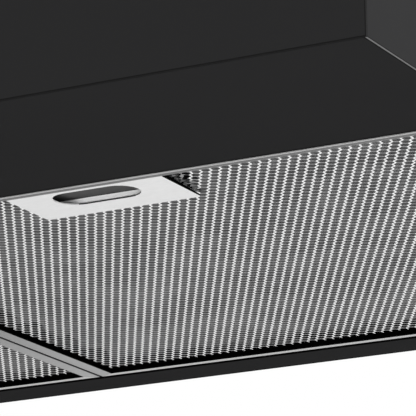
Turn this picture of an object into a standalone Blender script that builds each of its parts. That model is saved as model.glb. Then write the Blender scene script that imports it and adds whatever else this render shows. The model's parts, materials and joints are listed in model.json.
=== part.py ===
"""Under cabinet range hood, built as separate sheet-metal and mechanical pieces.

X runs along the width, -Y is the front, +Z is up. The origin is the centre of the top panel's
upper face, which sits against the cabinet. Sizes are in metres.
"""

import math

import bmesh
import bpy
from mathutils import Matrix, Vector

# Housing
WIDTH = 0.750
DEPTH = 0.4835
HEIGHT = 0.130
SHEET = 0.001
GAP = 0.0003  # between pieces that touch
STRIP_DEPTH = 0.1205  # underside in front of the filters
REAR_RIM = 0.0253
SIDE_RIM = 0.0199
PAN_FLANGE = 0.007  # up-turned edge of the filter opening
FLANGE_END = 0.010  # flat stretch of the side edges in front of the rear rim

# Grease filters
FILTER_CLEARANCE = 0.0005  # to the pan at the front
FILTER_SIDE_CLEARANCE = 0.0006
FILTER_GROOVE = 0.0077  # open groove behind the filters
FILTER_PROUD = 0.0010  # how far the frames stand below the pan
FILTER_THICK = 0.0095
FRAME_SHEET = 0.0008
FRONT_LIP = 0.0035
SIDE_LIP = 0.0080
REAR_LIP = 0.0050
MESH_RECESS = 0.0024
MESH_THICK = 0.0008
PACK_THICK = 0.0035
INNER_MESH_THICK = 0.0010
HINGE_BEHIND = 0.0023  # hinge axis behind the frame
HINGE_ABOVE = 0.0030  # hinge axis above the frame's lower face
HOOK_WIDTH = 0.120
HOOK_REACH = 0.0135
HOOK_SHEET = 0.0008

# Filter latch
PLATE_WIDTH = 0.0793
PLATE_DEPTH = 0.0366
PLATE_SHEET = 0.0006
SLOT_LENGTH = 0.0426
SLOT_WIDTH = 0.0197
SLOT_FROM_FRONT = 0.0121  # plate's front edge to the slot's centre
SLIDE_WIDTH = 0.056
SLIDE_SHEET = 0.0008
SLIDE_CEILING = 0.0030  # slide's plate above the latch plate's lower face
TONGUE_WIDTH = 0.018
WINDOW_CLEARANCE = 0.0007
SPRING_RADIUS = 0.0011
SPRING_WIRE = 0.0003
SPRING_TURNS = 7
SPRING_SIDES = 8  # straight runs in one turn

# Lamps
LAMP_X = 0.125
LAMP_FROM_FRONT = 0.060
LAMP_HOLE = 0.030  # radius
BEZEL_LAP = 0.004  # flange beyond the hole
BEZEL_THICK = 0.0009
BEZEL_BARREL = 0.0043
LENS_INSET = 0.0030  # edge of the lens to the edge of the hole
LENS_THICK = 0.0025
LAMP_HOUSING = 0.016
LAMP_CROWN = 0.8  # top of the lamp housing over its width
LAMP_SHOULDER = 0.004  # height of the housing's cone

# Controls
CONTROL_LENGTH = 0.180
CONTROL_HEIGHT = 0.026
CONTROL_THICK = 0.0009
CONTROL_DOWN = 0.065  # centre line below the top
CONTROL_END_LAP = 0.005  # control plate over the panel at its ends
CONTROL_EDGE_LAP = 0.003  # and along its long edges
BUTTON_COUNT = 5
BUTTON_PITCH = 0.032
BUTTON_WIDTH = 0.020
BUTTON_HEIGHT = 0.012
BUTTON_PROUD = 0.0023
BUTTON_TRAVEL = 0.0025
BUTTON_LENGTH = 0.012
BUTTON_EDGE = 0.0006
BOARD_THICK = 0.0016
BOARD_INSET = 0.003
SWITCH_SIZE = 0.008
SWITCH_HEIGHT = 0.004

# Duct collar and damper
OUTLET_LENGTH = 0.254
OUTLET_DEPTH = 0.0825
OUTLET_FROM_BACK = 0.090  # back face to the outlet's centre
COLLAR_HEIGHT = 0.025
COLLAR_FLANGE = 0.013
COLLAR_CLEARANCE = 0.0010
ROD_RADIUS = 0.0018
ROD_HEIGHT = 0.006
KNUCKLE_RADIUS = 0.0036
KNUCKLE_LENGTH = 0.026
KNUCKLE_PITCH = 0.120
FRONT_KNUCKLE_X = -0.100
REAR_KNUCKLE_X = -0.060
FLAP_LAP = 0.002  # knuckle arm over the flap
RUNNING = 0.0003
LEDGE = 0.003
FLAP_THICK = 0.001

# Twin blower
SCROLL_ABOVE_FILTERS = 0.00496
SHAFT_BEFORE_OUTLET = 0.022
SHAFT_RADIUS = 0.004
SCROLL_WIDTH = 0.076
SCROLL_WALL = 0.0012
SCROLL_CLEARANCE = 0.006  # round the wheel where the scroll starts
SCROLL_GROWTH = 0.010  # from the start of the scroll to its end
SCROLL_START_ANGLE = 100.0
INLET_RADIUS = 0.031
WHEEL_RADIUS = 0.040
WHEEL_WIDTH = 0.066
WHEEL_BLADES = 16
BLADE_DEPTH = 0.0075
BLADE_THICK = 0.0014
BLADE_INSET = 0.0008
BLADE_LEAN = 28.0
HUB_RADIUS = 0.009
HUB_LENGTH = 0.024
WHEEL_DISC = 0.002
WHEEL_RING_WIDTH = 0.0025
WHEEL_RING_DEPTH = 0.005
MOTOR_RADIUS = 0.036
MOTOR_LENGTH = 0.084
MOTOR_BOSS = 0.012
MOTOR_BOSS_FOOT = 0.014
MOTOR_BOSS_HEIGHT = 0.006
MOTOR_BELL_INSET = 0.008
MOTOR_BELL_HEIGHT = 0.009
MOTOR_SHOULDER = 0.018
STRAP_THICK = 0.0022
STRAP_WIDTH = 0.020
POST_DEPTH = 0.024
POST_INSET = 0.001
FOOT_DEPTH = 0.048
SHAFT_INSET = 0.005

# Wiring
BOX_X = 0.290
BOX_FROM_BACK = 0.080
BOX_SIZE = 0.080
BOX_HEIGHT = 0.045
BOSS_SIZE = 0.008
BOSS_HEIGHT = 0.009
SCREW_RADIUS = 0.0015
SCREW_HEAD = 0.0032
SCREW_LENGTH = 0.0085
SCREW_HEAD_HEIGHT = 0.0018
SCREW_HEAD_TAPER = 0.85
CABLE_HOLE = 0.011
CABLE_BORE = 0.005
GROMMET_LIP = 0.002
GROMMET_THICK = 0.0017
GROMMET_BELOW = 0.001
TERMINAL_WIDTH = 0.048
TERMINAL_SIZE = 0.014
TERMINAL_FROM_WALL = 0.008
TERMINAL_PITCH = 0.014
TERMINAL_BORE = 0.0024
CAPACITOR_RADIUS = 0.014
CAPACITOR_LENGTH = 0.050
CAPACITOR_FROM_BOX = 0.030
CAPACITOR_EDGE = 0.001

# Cabinet fixing
KEYHOLE_X = 0.300
KEYHOLE_FROM_EDGE = 0.055
KEYHOLE_HEAD = 0.0055
KEYHOLE_SLOT = 0.0026
KEYHOLE_LENGTH = 0.014

THROUGH = 0.010  # how much longer a cutting rod is than the hole it cuts

# Places that follow from the sizes above
FRONT = -DEPTH / 2
BACK = DEPTH / 2
BOTTOM = -HEIGHT
INNER_X = WIDTH / 2 - SHEET - GAP
OPENING_FRONT = FRONT + STRIP_DEPTH
OPENING_BACK = BACK - REAR_RIM
OPENING_X = WIDTH / 2 - SIDE_RIM
FILTER_FRONT = OPENING_FRONT + FILTER_CLEARANCE
FILTER_BACK = OPENING_BACK - FILTER_GROOVE
FILTER_INNER_X = FILTER_SIDE_CLEARANCE
FILTER_OUTER_X = OPENING_X - FILTER_SIDE_CLEARANCE
FILTER_X = (FILTER_INNER_X + FILTER_OUTER_X) / 2
FILTER_HALF = (FILTER_OUTER_X - FILTER_INNER_X) / 2
FILTER_BOTTOM = BOTTOM - FILTER_PROUD
FILTER_TOP = FILTER_BOTTOM + FILTER_THICK
HINGE_Y = FILTER_BACK + HINGE_BEHIND
HINGE_Z = FILTER_BOTTOM + HINGE_ABOVE
PLATE_FRONT = FILTER_FRONT + FRONT_LIP + GAP
SLIDE_LOW = FILTER_BOTTOM + SLIDE_CEILING
SLOT_Y = PLATE_FRONT + SLOT_FROM_FRONT
FINGER_WALL = SLOT_Y + SLOT_WIDTH / 2 + GAP
OUTLET_Y = BACK - OUTLET_FROM_BACK
SHAFT_Y = OUTLET_Y - SHAFT_BEFORE_OUTLET
COLLAR_LOW = -2 * SHEET - GAP
SCROLL_X = OUTLET_LENGTH / 2 - SHEET - GAP - SCROLL_WIDTH / 2
SCROLL_TOP = COLLAR_LOW - GAP
LAMP_Y = FRONT + LAMP_FROM_FRONT
BEZEL_OUTER = LAMP_HOLE + BEZEL_LAP
LENS_RADIUS = LAMP_HOLE - LENS_INSET
SCROLL_START_RADIUS = WHEEL_RADIUS + SCROLL_CLEARANCE
SCROLL_END_RADIUS = SCROLL_START_RADIUS + SCROLL_GROWTH
SCROLL_FOOT = SCROLL_START_RADIUS + SCROLL_GROWTH * (270 - SCROLL_START_ANGLE) / (360 - SCROLL_START_ANGLE)
SHAFT_Z = FILTER_TOP + SCROLL_ABOVE_FILTERS + SCROLL_FOOT  # the scroll's lowest point is over the filters
CONTROL_Z = -CONTROL_DOWN
BOX_Y = BACK - BOX_FROM_BACK
BOX_TOP = -SHEET - GAP

X_AXIS = Matrix.Rotation(math.radians(90), 4, "Y")
Y_AXIS = Matrix.Rotation(math.radians(-90), 4, "X")
Z_AXIS = Matrix.Identity(4)

for old in list(bpy.data.objects):
    bpy.data.objects.remove(old, do_unlink=True)

parts = bpy.data.collections.new("under_cabinet_range_hood")
cutters = bpy.data.collections.new("cutters")
for collection in (parts, cutters):
    bpy.context.scene.collection.children.link(collection)


def make_material(name, colour, metallic, roughness):
    made = bpy.data.materials.new(name)
    made.use_nodes = True
    shader = made.node_tree.nodes["Principled BSDF"]
    shader.inputs["Base Color"].default_value = (*colour, 1.0)
    shader.inputs["Metallic"].default_value = metallic
    shader.inputs["Roughness"].default_value = roughness
    return made


BLACK_PAINT = make_material("black_paint", (0.020, 0.020, 0.021), 0.0, 0.45)
ALUMINIUM = make_material("aluminium", (0.62, 0.62, 0.61), 1.0, 0.35)
BRUSHED = make_material("brushed_plate", (0.82, 0.82, 0.81), 1.0, 0.30)
GALVANISED = make_material("galvanised", (0.50, 0.51, 0.52), 1.0, 0.42)
SPRING_STEEL = make_material("spring_steel", (0.45, 0.45, 0.46), 1.0, 0.30)
BLACK_PLASTIC = make_material("black_plastic", (0.022, 0.022, 0.023), 0.0, 0.40)
GREY_PLASTIC = make_material("grey_plastic", (0.30, 0.30, 0.31), 0.0, 0.50)
LENS = make_material("lamp_lens", (0.85, 0.85, 0.82), 0.0, 0.25)
BOARD = make_material("circuit_board", (0.02, 0.16, 0.07), 0.0, 0.45)
MOTOR = make_material("motor_steel", (0.16, 0.16, 0.17), 1.0, 0.45)


# ---------------------------------------------------------------- shapes


def place(name, mesh, material, matrix=Z_AXIS, collection=parts):
    """An object of this mesh, hidden and drawn as wire when it is a cutter."""
    made = bpy.data.objects.new(name, mesh)
    made.matrix_world = matrix
    collection.objects.link(made)
    if collection is cutters:
        made.hide_render = True
        made.display_type = "WIRE"
    else:
        mesh.materials.append(material)
    return made


def block(name, low, high, material=None, collection=parts):
    low, high = Vector(low), Vector(high)
    shape = bmesh.new()
    bmesh.ops.create_cube(shape, size=1.0, matrix=Matrix.Diagonal((*(high - low), 1.0)))
    mesh = bpy.data.meshes.new(name)
    shape.to_mesh(mesh)
    shape.free()
    return place(name, mesh, material, Matrix.Translation((low + high) / 2), collection)


def smooth(mesh):
    mesh.shade_smooth()
    mesh.set_sharp_from_angle(angle=math.radians(35))


def rod(name, centre, radius, length, turn=Z_AXIS, material=None, collection=parts, segments=32):
    shape = bmesh.new()
    bmesh.ops.create_cone(
        shape, cap_ends=True, segments=segments, radius1=radius, radius2=radius, depth=length
    )
    mesh = bpy.data.meshes.new(name)
    shape.to_mesh(mesh)
    shape.free()
    smooth(mesh)
    return place(name, mesh, material, Matrix.Translation(centre) @ turn, collection)


def turned(name, profile, centre, turn, material, collection=parts, closed=False, steps=32):
    """A profile of (radius, height) points, outer side first from top to bottom, spun about its axis."""
    mesh = bpy.data.meshes.new(name)
    shape = bmesh.new()
    points = [shape.verts.new((radius, 0.0, height)) for radius, height in profile]
    for first, second in zip(points, points[1:]):
        shape.edges.new((first, second))
    if closed:
        shape.edges.new((points[-1], points[0]))
    shape.to_mesh(mesh)
    shape.free()
    made = place(name, mesh, material, Matrix.Translation(centre) @ turn, collection)
    screw = made.modifiers.new("Screw", "SCREW")
    screw.axis = "Z"
    screw.steps = screw.render_steps = steps
    screw.use_merge_vertices = True
    screw.merge_threshold = 0.00001
    screw.use_smooth_shade = True
    return made


def ring(name, inner, outer, low, high, centre, turn, material=None, collection=parts, steps=32):
    profile = [(outer, high), (outer, low), (inner, low), (inner, high)]
    return turned(name, profile, centre, turn, material, collection, closed=True, steps=steps)


def curve_to_mesh(curve_object):
    """The closed mesh of a filled or bevelled curve, which is then removed."""
    graph = bpy.context.evaluated_depsgraph_get()
    mesh = bpy.data.meshes.new_from_object(curve_object.evaluated_get(graph))
    shape = bmesh.new()
    shape.from_mesh(mesh)
    bmesh.ops.remove_doubles(shape, verts=shape.verts, dist=0.000001)
    shape.to_mesh(mesh)
    shape.free()
    bpy.data.objects.remove(curve_object, do_unlink=True)
    return mesh


def outline(name, points, thickness, matrix, material=None, collection=parts):
    """A flat closed outline of (x, y) points, given a thickness along its own Z."""
    curve = bpy.data.curves.new(name, "CURVE")
    curve.dimensions = "2D"
    curve.fill_mode = "BOTH"
    curve.extrude = thickness / 2
    spline = curve.splines.new("POLY")
    spline.points.add(len(points) - 1)
    for point, (x, y) in zip(spline.points, points):
        point.co = (x, y, 0.0, 1.0)
    spline.use_cyclic_u = True
    guide = bpy.data.objects.new(name + "_outline", curve)
    cutters.objects.link(guide)
    bpy.context.view_layer.update()
    return place(name, curve_to_mesh(guide), material, matrix, collection)


def arc(centre_x, centre_y, radius, start, end, steps):
    """Points along an arc, angles in degrees."""
    for step in range(steps + 1):
        angle = math.radians(start + (end - start) * step / steps)
        yield (centre_x + radius * math.cos(angle), centre_y + radius * math.sin(angle))


def obround(length, width, steps=10):
    """Outline of a slot with round ends, its length along x."""
    radius = width / 2
    reach = length / 2 - radius
    return [*arc(reach, 0, radius, -90, 90, steps), *arc(-reach, 0, radius, 90, 270, steps)]


def boolean(target, tool, operation):
    modifier = target.modifiers.new(tool.name, "BOOLEAN")
    modifier.operation = operation
    modifier.solver = "EXACT"
    modifier.object = tool
    return target


def cut(target, *tools):
    for tool in tools:
        boolean(target, tool, "DIFFERENCE")
    return target


def join(target, *pieces):
    for piece in pieces:
        boolean(target, piece, "UNION")
    return target


def cut_block(name, low, high):
    return block(name, low, high, collection=cutters)


def cut_rod(name, centre, radius, length, turn=Z_AXIS, segments=32):
    return rod(name, centre, radius, length, turn, collection=cutters, segments=segments)


def pivot(name, place_at, pieces, parent=None):
    """An empty on a joint's axis, which carries the pieces that move with it."""
    axis = bpy.data.objects.new(name, None)
    axis.empty_display_size = 0.02
    axis.location = place_at
    parts.objects.link(axis)
    bpy.context.view_layer.update()
    for piece in pieces:
        world = piece.matrix_world.copy()
        piece.parent = axis
        piece.matrix_parent_inverse = axis.matrix_world.inverted()
        piece.matrix_world = world
    if parent:
        world = axis.matrix_world.copy()
        axis.parent = parent
        axis.matrix_parent_inverse = parent.matrix_world.inverted()
        axis.matrix_world = world
    return axis


# ---------------------------------------------------------------- housing


def keyhole(name, x, y):
    """A screw-head hole with a slot towards the front."""
    head = cut_rod(name + "_head", (x, y, 0), KEYHOLE_HEAD, 4 * SHEET)
    slot = cut_block(
        name + "_slot",
        (x - KEYHOLE_SLOT, y - KEYHOLE_LENGTH, -2 * SHEET),
        (x + KEYHOLE_SLOT, y, 2 * SHEET),
    )
    return head, slot


def build_top_panel():
    panel = block(
        "top_panel",
        (-INNER_X, FRONT + SHEET + GAP, -SHEET),
        (INNER_X, BACK - SHEET - GAP, 0),
        BLACK_PAINT,
    )
    half_length = OUTLET_LENGTH / 2 + COLLAR_CLEARANCE
    half_depth = OUTLET_DEPTH / 2 + COLLAR_CLEARANCE
    cut(
        panel,
        cut_block(
            "outlet_hole",
            (-half_length, OUTLET_Y - half_depth, -2 * SHEET),
            (half_length, OUTLET_Y + half_depth, 2 * SHEET),
        ),
        cut_rod("panel_cable_hole", (BOX_X, BOX_Y, 0), CABLE_HOLE, 4 * SHEET),
    )
    ends = {
        "front": FRONT + KEYHOLE_FROM_EDGE,
        "back": BACK - KEYHOLE_FROM_EDGE + KEYHOLE_LENGTH,
    }
    for side, x in (("left", -KEYHOLE_X), ("right", KEYHOLE_X)):
        for end, y in ends.items():
            cut(panel, *keyhole(f"{side}_{end}_keyhole", x, y))


def build_front_panel():
    panel = block(
        "front_panel", (-WIDTH / 2, FRONT, BOTTOM), (WIDTH / 2, FRONT + SHEET, 0), BLACK_PAINT
    )
    half_length = CONTROL_LENGTH / 2 - CONTROL_END_LAP
    half_height = CONTROL_HEIGHT / 2 - CONTROL_EDGE_LAP
    cut(
        panel,
        cut_block(
            "control_hole",
            (-half_length, FRONT - SHEET, CONTROL_Z - half_height),
            (half_length, FRONT + 2 * SHEET, CONTROL_Z + half_height),
        ),
    )


def build_side_panels():
    for side, sign in (("left", -1), ("right", 1)):
        ends = sorted((sign * (WIDTH / 2 - SHEET), sign * WIDTH / 2))
        block(
            f"{side}_side_panel",
            (ends[0], FRONT + SHEET + GAP, BOTTOM),
            (ends[1], BACK, 0),
            BLACK_PAINT,
        )


def build_back_panel():
    block("back_panel", (-INNER_X, BACK - SHEET, BOTTOM), (INNER_X, BACK, 0), BLACK_PAINT)


def build_bottom_pan():
    """Flat pan with lamp holes and a flanged filter opening, whose rear edge stays flat for the hooks."""
    pan = block(
        "bottom_pan",
        (-INNER_X, FRONT + SHEET + GAP, BOTTOM),
        (INNER_X, BACK - SHEET - GAP, BOTTOM + SHEET),
        BLACK_PAINT,
    )
    top = BOTTOM + PAN_FLANGE
    join(
        pan,
        block(
            "pan_front_flange",
            (-OPENING_X - SHEET, OPENING_FRONT - SHEET, BOTTOM),
            (OPENING_X + SHEET, OPENING_FRONT + SHEET, top),
            collection=cutters,
        ),
        block(
            "pan_left_flange",
            (-OPENING_X - SHEET, OPENING_FRONT - SHEET, BOTTOM),
            (-OPENING_X + SHEET, OPENING_BACK - FLANGE_END, top),
            collection=cutters,
        ),
        block(
            "pan_right_flange",
            (OPENING_X - SHEET, OPENING_FRONT - SHEET, BOTTOM),
            (OPENING_X + SHEET, OPENING_BACK - FLANGE_END, top),
            collection=cutters,
        ),
    )
    cut(
        pan,
        cut_block(
            "filter_opening",
            (-OPENING_X, OPENING_FRONT, BOTTOM - SHEET),
            (OPENING_X, OPENING_BACK, top + SHEET),
        ),
    )
    for side, sign in (("left", -1), ("right", 1)):
        x = sign * FILTER_X
        half = TONGUE_WIDTH / 2 + WINDOW_CLEARANCE
        cut(
            pan,
            cut_rod(
                f"{side}_lamp_hole", (sign * LAMP_X, LAMP_Y, BOTTOM), LAMP_HOLE, THROUGH, segments=40
            ),
            cut_block(
                f"{side}_keeper_window",
                (x - half, OPENING_FRONT - 2 * SHEET, SLIDE_LOW - WINDOW_CLEARANCE),
                (x + half, OPENING_FRONT + SHEET, SLIDE_LOW + SLIDE_SHEET + WINDOW_CLEARANCE),
            ),
        )


# ---------------------------------------------------------------- filters


def layer(name, x, low, high, material):
    """A flat layer that fills the frame's channel."""
    reach = FILTER_HALF - FRAME_SHEET - GAP
    return block(
        name,
        (x - reach, FILTER_FRONT + FRAME_SHEET + GAP, low),
        (x + reach, FILTER_BACK - FRAME_SHEET - GAP, high),
        material,
    )


def build_filter_frame(side, x):
    frame = block(
        f"{side}_filter_frame",
        (x - FILTER_HALF, FILTER_FRONT, FILTER_BOTTOM),
        (x + FILTER_HALF, FILTER_BACK, FILTER_TOP),
        ALUMINIUM,
    )
    reach = FILTER_HALF - FRAME_SHEET
    opening = FILTER_HALF - SIDE_LIP
    half = TONGUE_WIDTH / 2 + WINDOW_CLEARANCE
    return cut(
        frame,
        cut_block(
            f"{side}_frame_channel",
            (x - reach, FILTER_FRONT + FRAME_SHEET, FILTER_BOTTOM + FRAME_SHEET),
            (x + reach, FILTER_BACK - FRAME_SHEET, FILTER_TOP - FRAME_SHEET),
        ),
        cut_block(
            f"{side}_frame_opening",
            (x - opening, FILTER_FRONT + FRONT_LIP, FILTER_BOTTOM - SHEET),
            (x + opening, FILTER_BACK - REAR_LIP, FILTER_TOP + SHEET),
        ),
        cut_block(
            f"{side}_tongue_window",
            (x - half, FILTER_FRONT - SHEET, SLIDE_LOW - WINDOW_CLEARANCE),
            (x + half, FILTER_FRONT + 2 * SHEET, SLIDE_LOW + SLIDE_SHEET + WINDOW_CLEARANCE),
        ),
    )


def build_filter_layers(side, x):
    """Outer honeycomb mesh, folded foil pack and inner mesh, cut away over the latch."""
    mesh_low = FILTER_BOTTOM + MESH_RECESS
    pack_low = mesh_low + MESH_THICK + GAP
    inner_low = pack_low + PACK_THICK + GAP
    layers = [
        layer(f"{side}_outer_mesh", x, mesh_low, mesh_low + MESH_THICK, ALUMINIUM),
        layer(f"{side}_grease_pack", x, pack_low, pack_low + PACK_THICK, ALUMINIUM),
        layer(f"{side}_inner_mesh", x, inner_low, inner_low + INNER_MESH_THICK, ALUMINIUM),
    ]
    half = PLATE_WIDTH / 2 - 3 * PLATE_SHEET
    back = PLATE_FRONT + PLATE_DEPTH - 3 * PLATE_SHEET
    recess = cut_block(
        f"{side}_latch_recess",
        (x - half, FILTER_FRONT - SHEET, mesh_low - SHEET),
        (x + half, back, SLIDE_LOW + SLIDE_SHEET + WINDOW_CLEARANCE),
    )
    cut(layers[0], recess)
    cut(layers[1], recess)
    return layers


def build_latch_plate(side, x):
    """Tray that faces down, with an obround finger slot, open over its front edge."""
    low = FILTER_BOTTOM
    high = FILTER_BOTTOM + MESH_RECESS - GAP
    half = PLATE_WIDTH / 2
    plate = block(
        f"{side}_latch_plate",
        (x - half, PLATE_FRONT, low),
        (x + half, PLATE_FRONT + PLATE_DEPTH, high),
        BRUSHED,
    )
    return cut(
        plate,
        cut_block(
            f"{side}_plate_hollow",
            (x - half + PLATE_SHEET, PLATE_FRONT - SHEET, low + PLATE_SHEET),
            (x + half - PLATE_SHEET, PLATE_FRONT + PLATE_DEPTH - PLATE_SHEET, high + SHEET),
        ),
        outline(
            f"{side}_finger_slot",
            obround(SLOT_LENGTH, SLOT_WIDTH),
            6 * PLATE_SHEET,
            Matrix.Translation((x, SLOT_Y, low)),
            collection=cutters,
        ),
    )


def build_latch_slide(side, x):
    """Slide plate with a tongue at the front and a wall at the back that the finger pushes."""
    top = SLIDE_LOW + SLIDE_SHEET
    half = SLIDE_WIDTH / 2
    back = FINGER_WALL + SLIDE_SHEET
    slide = block(
        f"{side}_latch_slide",
        (x - half, PLATE_FRONT + SLIDE_SHEET, SLIDE_LOW),
        (x + half, back, top),
        BRUSHED,
    )
    return join(
        slide,
        block(
            f"{side}_finger_wall",
            (x - half, FINGER_WALL, FILTER_BOTTOM + PLATE_SHEET + GAP),
            (x + half, back, top),
            collection=cutters,
        ),
        block(
            f"{side}_tongue",
            (x - TONGUE_WIDTH / 2, FILTER_FRONT + GAP, SLIDE_LOW),
            (x + TONGUE_WIDTH / 2, PLATE_FRONT + 2 * SLIDE_SHEET, top),
            collection=cutters,
        ),
    )


def build_latch_spring(side, x):
    """Small coil between the finger wall and the tray's back wall."""
    start = FINGER_WALL + SLIDE_SHEET + GAP + SPRING_WIRE
    end = PLATE_FRONT + PLATE_DEPTH - PLATE_SHEET - GAP - SPRING_WIRE
    height = FILTER_BOTTOM + PLATE_SHEET + GAP + SPRING_RADIUS + SPRING_WIRE
    curve = bpy.data.curves.new(f"{side}_latch_spring", "CURVE")
    curve.dimensions = "3D"
    curve.bevel_depth = SPRING_WIRE
    curve.bevel_resolution = 1
    curve.use_fill_caps = True
    steps = SPRING_TURNS * SPRING_SIDES
    spline = curve.splines.new("POLY")
    spline.points.add(steps)
    for step, point in enumerate(spline.points):
        angle = math.tau * step / SPRING_SIDES
        point.co = (
            x + SPRING_RADIUS * math.cos(angle),
            start + (end - start) * step / steps,
            height + SPRING_RADIUS * math.sin(angle),
            1.0,
        )
    guide = bpy.data.objects.new(f"{side}_spring_path", curve)
    cutters.objects.link(guide)
    bpy.context.view_layer.update()
    return place(f"{side}_latch_spring", curve_to_mesh(guide), SPRING_STEEL)


def build_rear_hook(side, x):
    """Tab that lies over the pan's rear rim."""
    low = HINGE_Z - HOOK_SHEET / 2
    return block(
        f"{side}_rear_hook",
        (x - HOOK_WIDTH / 2, FILTER_BACK + GAP, low),
        (x + HOOK_WIDTH / 2, FILTER_BACK + HOOK_REACH, low + HOOK_SHEET),
        ALUMINIUM,
    )


def build_filters():
    for side, sign in (("left", -1), ("right", 1)):
        x = sign * FILTER_X
        pieces = [
            build_filter_frame(side, x),
            *build_filter_layers(side, x),
            build_latch_plate(side, x),
            build_latch_spring(side, x),
            build_rear_hook(side, x),
        ]
        hinge = pivot(f"{side}_filter_hinge", (x, HINGE_Y, HINGE_Z), pieces)
        slide = build_latch_slide(side, x)
        pivot(f"{side}_latch_guide", (x, SLOT_Y, SLIDE_LOW), [slide], hinge)


# ---------------------------------------------------------------- lamps


def build_lamps():
    inner = LENS_RADIUS + GAP
    barrel = LAMP_HOLE - GAP
    below = BOTTOM - GAP
    for side, sign in (("left", -1), ("right", 1)):
        centre = (sign * LAMP_X, LAMP_Y, 0)
        bezel = [
            (barrel, below + BEZEL_BARREL),
            (barrel, below),
            (BEZEL_OUTER, below),
            (BEZEL_OUTER - BEZEL_THICK / 2, below - BEZEL_THICK),
            (inner, below - BEZEL_THICK),
            (inner, below + BEZEL_BARREL),
        ]
        turned(f"{side}_lamp_bezel", bezel, centre, Z_AXIS, GALVANISED, closed=True)
        lens_low = below - BEZEL_THICK / 2
        lens_high = lens_low + LENS_THICK
        lens = [(0, lens_high), (LENS_RADIUS, lens_high), (LENS_RADIUS, lens_low), (0, lens_low)]
        turned(f"{side}_lamp_lens", lens, centre, Z_AXIS, LENS)
        low = below + BEZEL_BARREL + GAP
        high = low + LAMP_HOUSING
        housing = [
            (0, high),
            (barrel * LAMP_CROWN, high),
            (barrel, high - LAMP_SHOULDER),
            (barrel, low),
            (inner, low),
            (inner, low + SHEET),
            (0, low + SHEET),
        ]
        turned(f"{side}_lamp_housing", housing, centre, Z_AXIS, GALVANISED)


# ---------------------------------------------------------------- controls


def build_controls():
    face = FRONT - GAP
    front = face - CONTROL_THICK
    plate = block(
        "control_plate",
        (-CONTROL_LENGTH / 2, front, CONTROL_Z - CONTROL_HEIGHT / 2),
        (CONTROL_LENGTH / 2, face, CONTROL_Z + CONTROL_HEIGHT / 2),
        BLACK_PLASTIC,
    )
    button_back = front - BUTTON_PROUD + BUTTON_LENGTH
    board_front = button_back + BUTTON_TRAVEL + GAP
    names = ("light_button", "off_button", "low_button", "medium_button", "high_button")
    for index, name in enumerate(names[:BUTTON_COUNT]):
        x = (index - (BUTTON_COUNT - 1) / 2) * BUTTON_PITCH
        half_width = BUTTON_WIDTH / 2
        half_height = BUTTON_HEIGHT / 2
        cut(
            plate,
            cut_block(
                name + "_hole",
                (x - half_width - GAP, front - SHEET, CONTROL_Z - half_height - GAP),
                (x + half_width + GAP, face + SHEET, CONTROL_Z + half_height + GAP),
            ),
        )
        button = block(
            name,
            (x - half_width, front - BUTTON_PROUD, CONTROL_Z - half_height),
            (x + half_width, button_back, CONTROL_Z + half_height),
            BLACK_PLASTIC,
        )
        edge = button.modifiers.new("Bevel", "BEVEL")
        edge.width = BUTTON_EDGE
        edge.segments = 1
    board_low = board_front + SWITCH_HEIGHT
    half_board = CONTROL_LENGTH / 2 - BOARD_INSET
    board = block(
        "switch_board",
        (-half_board, board_low, CONTROL_Z - CONTROL_HEIGHT / 2),
        (half_board, board_low + BOARD_THICK, CONTROL_Z + CONTROL_HEIGHT / 2),
        BOARD,
    )
    for index in range(BUTTON_COUNT):
        x = (index - (BUTTON_COUNT - 1) / 2) * BUTTON_PITCH
        join(
            board,
            block(
                f"switch_{index + 1}",
                (x - SWITCH_SIZE / 2, board_front, CONTROL_Z - SWITCH_SIZE / 2),
                (x + SWITCH_SIZE / 2, board_low + BOARD_THICK / 2, CONTROL_Z + SWITCH_SIZE / 2),
                collection=cutters,
            ),
        )


# ---------------------------------------------------------------- outlet


def build_collar():
    half_length = OUTLET_LENGTH / 2
    half_depth = OUTLET_DEPTH / 2
    collar = block(
        "duct_collar",
        (-half_length, OUTLET_Y - half_depth, COLLAR_LOW),
        (half_length, OUTLET_Y + half_depth, COLLAR_HEIGHT),
        GALVANISED,
    )
    join(
        collar,
        block(
            "collar_flange",
            (-half_length - COLLAR_FLANGE, OUTLET_Y - half_depth - COLLAR_FLANGE, COLLAR_LOW),
            (half_length + COLLAR_FLANGE, OUTLET_Y + half_depth + COLLAR_FLANGE, COLLAR_LOW + SHEET),
            collection=cutters,
        ),
    )
    ledge_high = ROD_HEIGHT - FLAP_THICK / 2 - GAP
    ledge_low = ledge_high - SHEET
    inner_x = half_length - SHEET
    inner_y = half_depth - SHEET
    cut(
        collar,
        cut_block(
            "collar_bore",
            (-inner_x, OUTLET_Y - inner_y + LEDGE, COLLAR_LOW - SHEET),
            (inner_x, OUTLET_Y + inner_y - LEDGE, COLLAR_HEIGHT + SHEET),
        ),
        cut_block(
            "collar_bore_above_ledge",
            (-inner_x, OUTLET_Y - inner_y, ledge_high),
            (inner_x, OUTLET_Y + inner_y, COLLAR_HEIGHT + SHEET),
        ),
        cut_block(
            "collar_bore_below_ledge",
            (-inner_x, OUTLET_Y - inner_y, COLLAR_LOW - SHEET),
            (inner_x, OUTLET_Y + inner_y, ledge_low),
        ),
        cut_rod(
            "rod_holes",
            (0, OUTLET_Y, ROD_HEIGHT),
            ROD_RADIUS + RUNNING,
            OUTLET_LENGTH + THROUGH,
            X_AXIS,
            16,
        ),
    )


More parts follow.
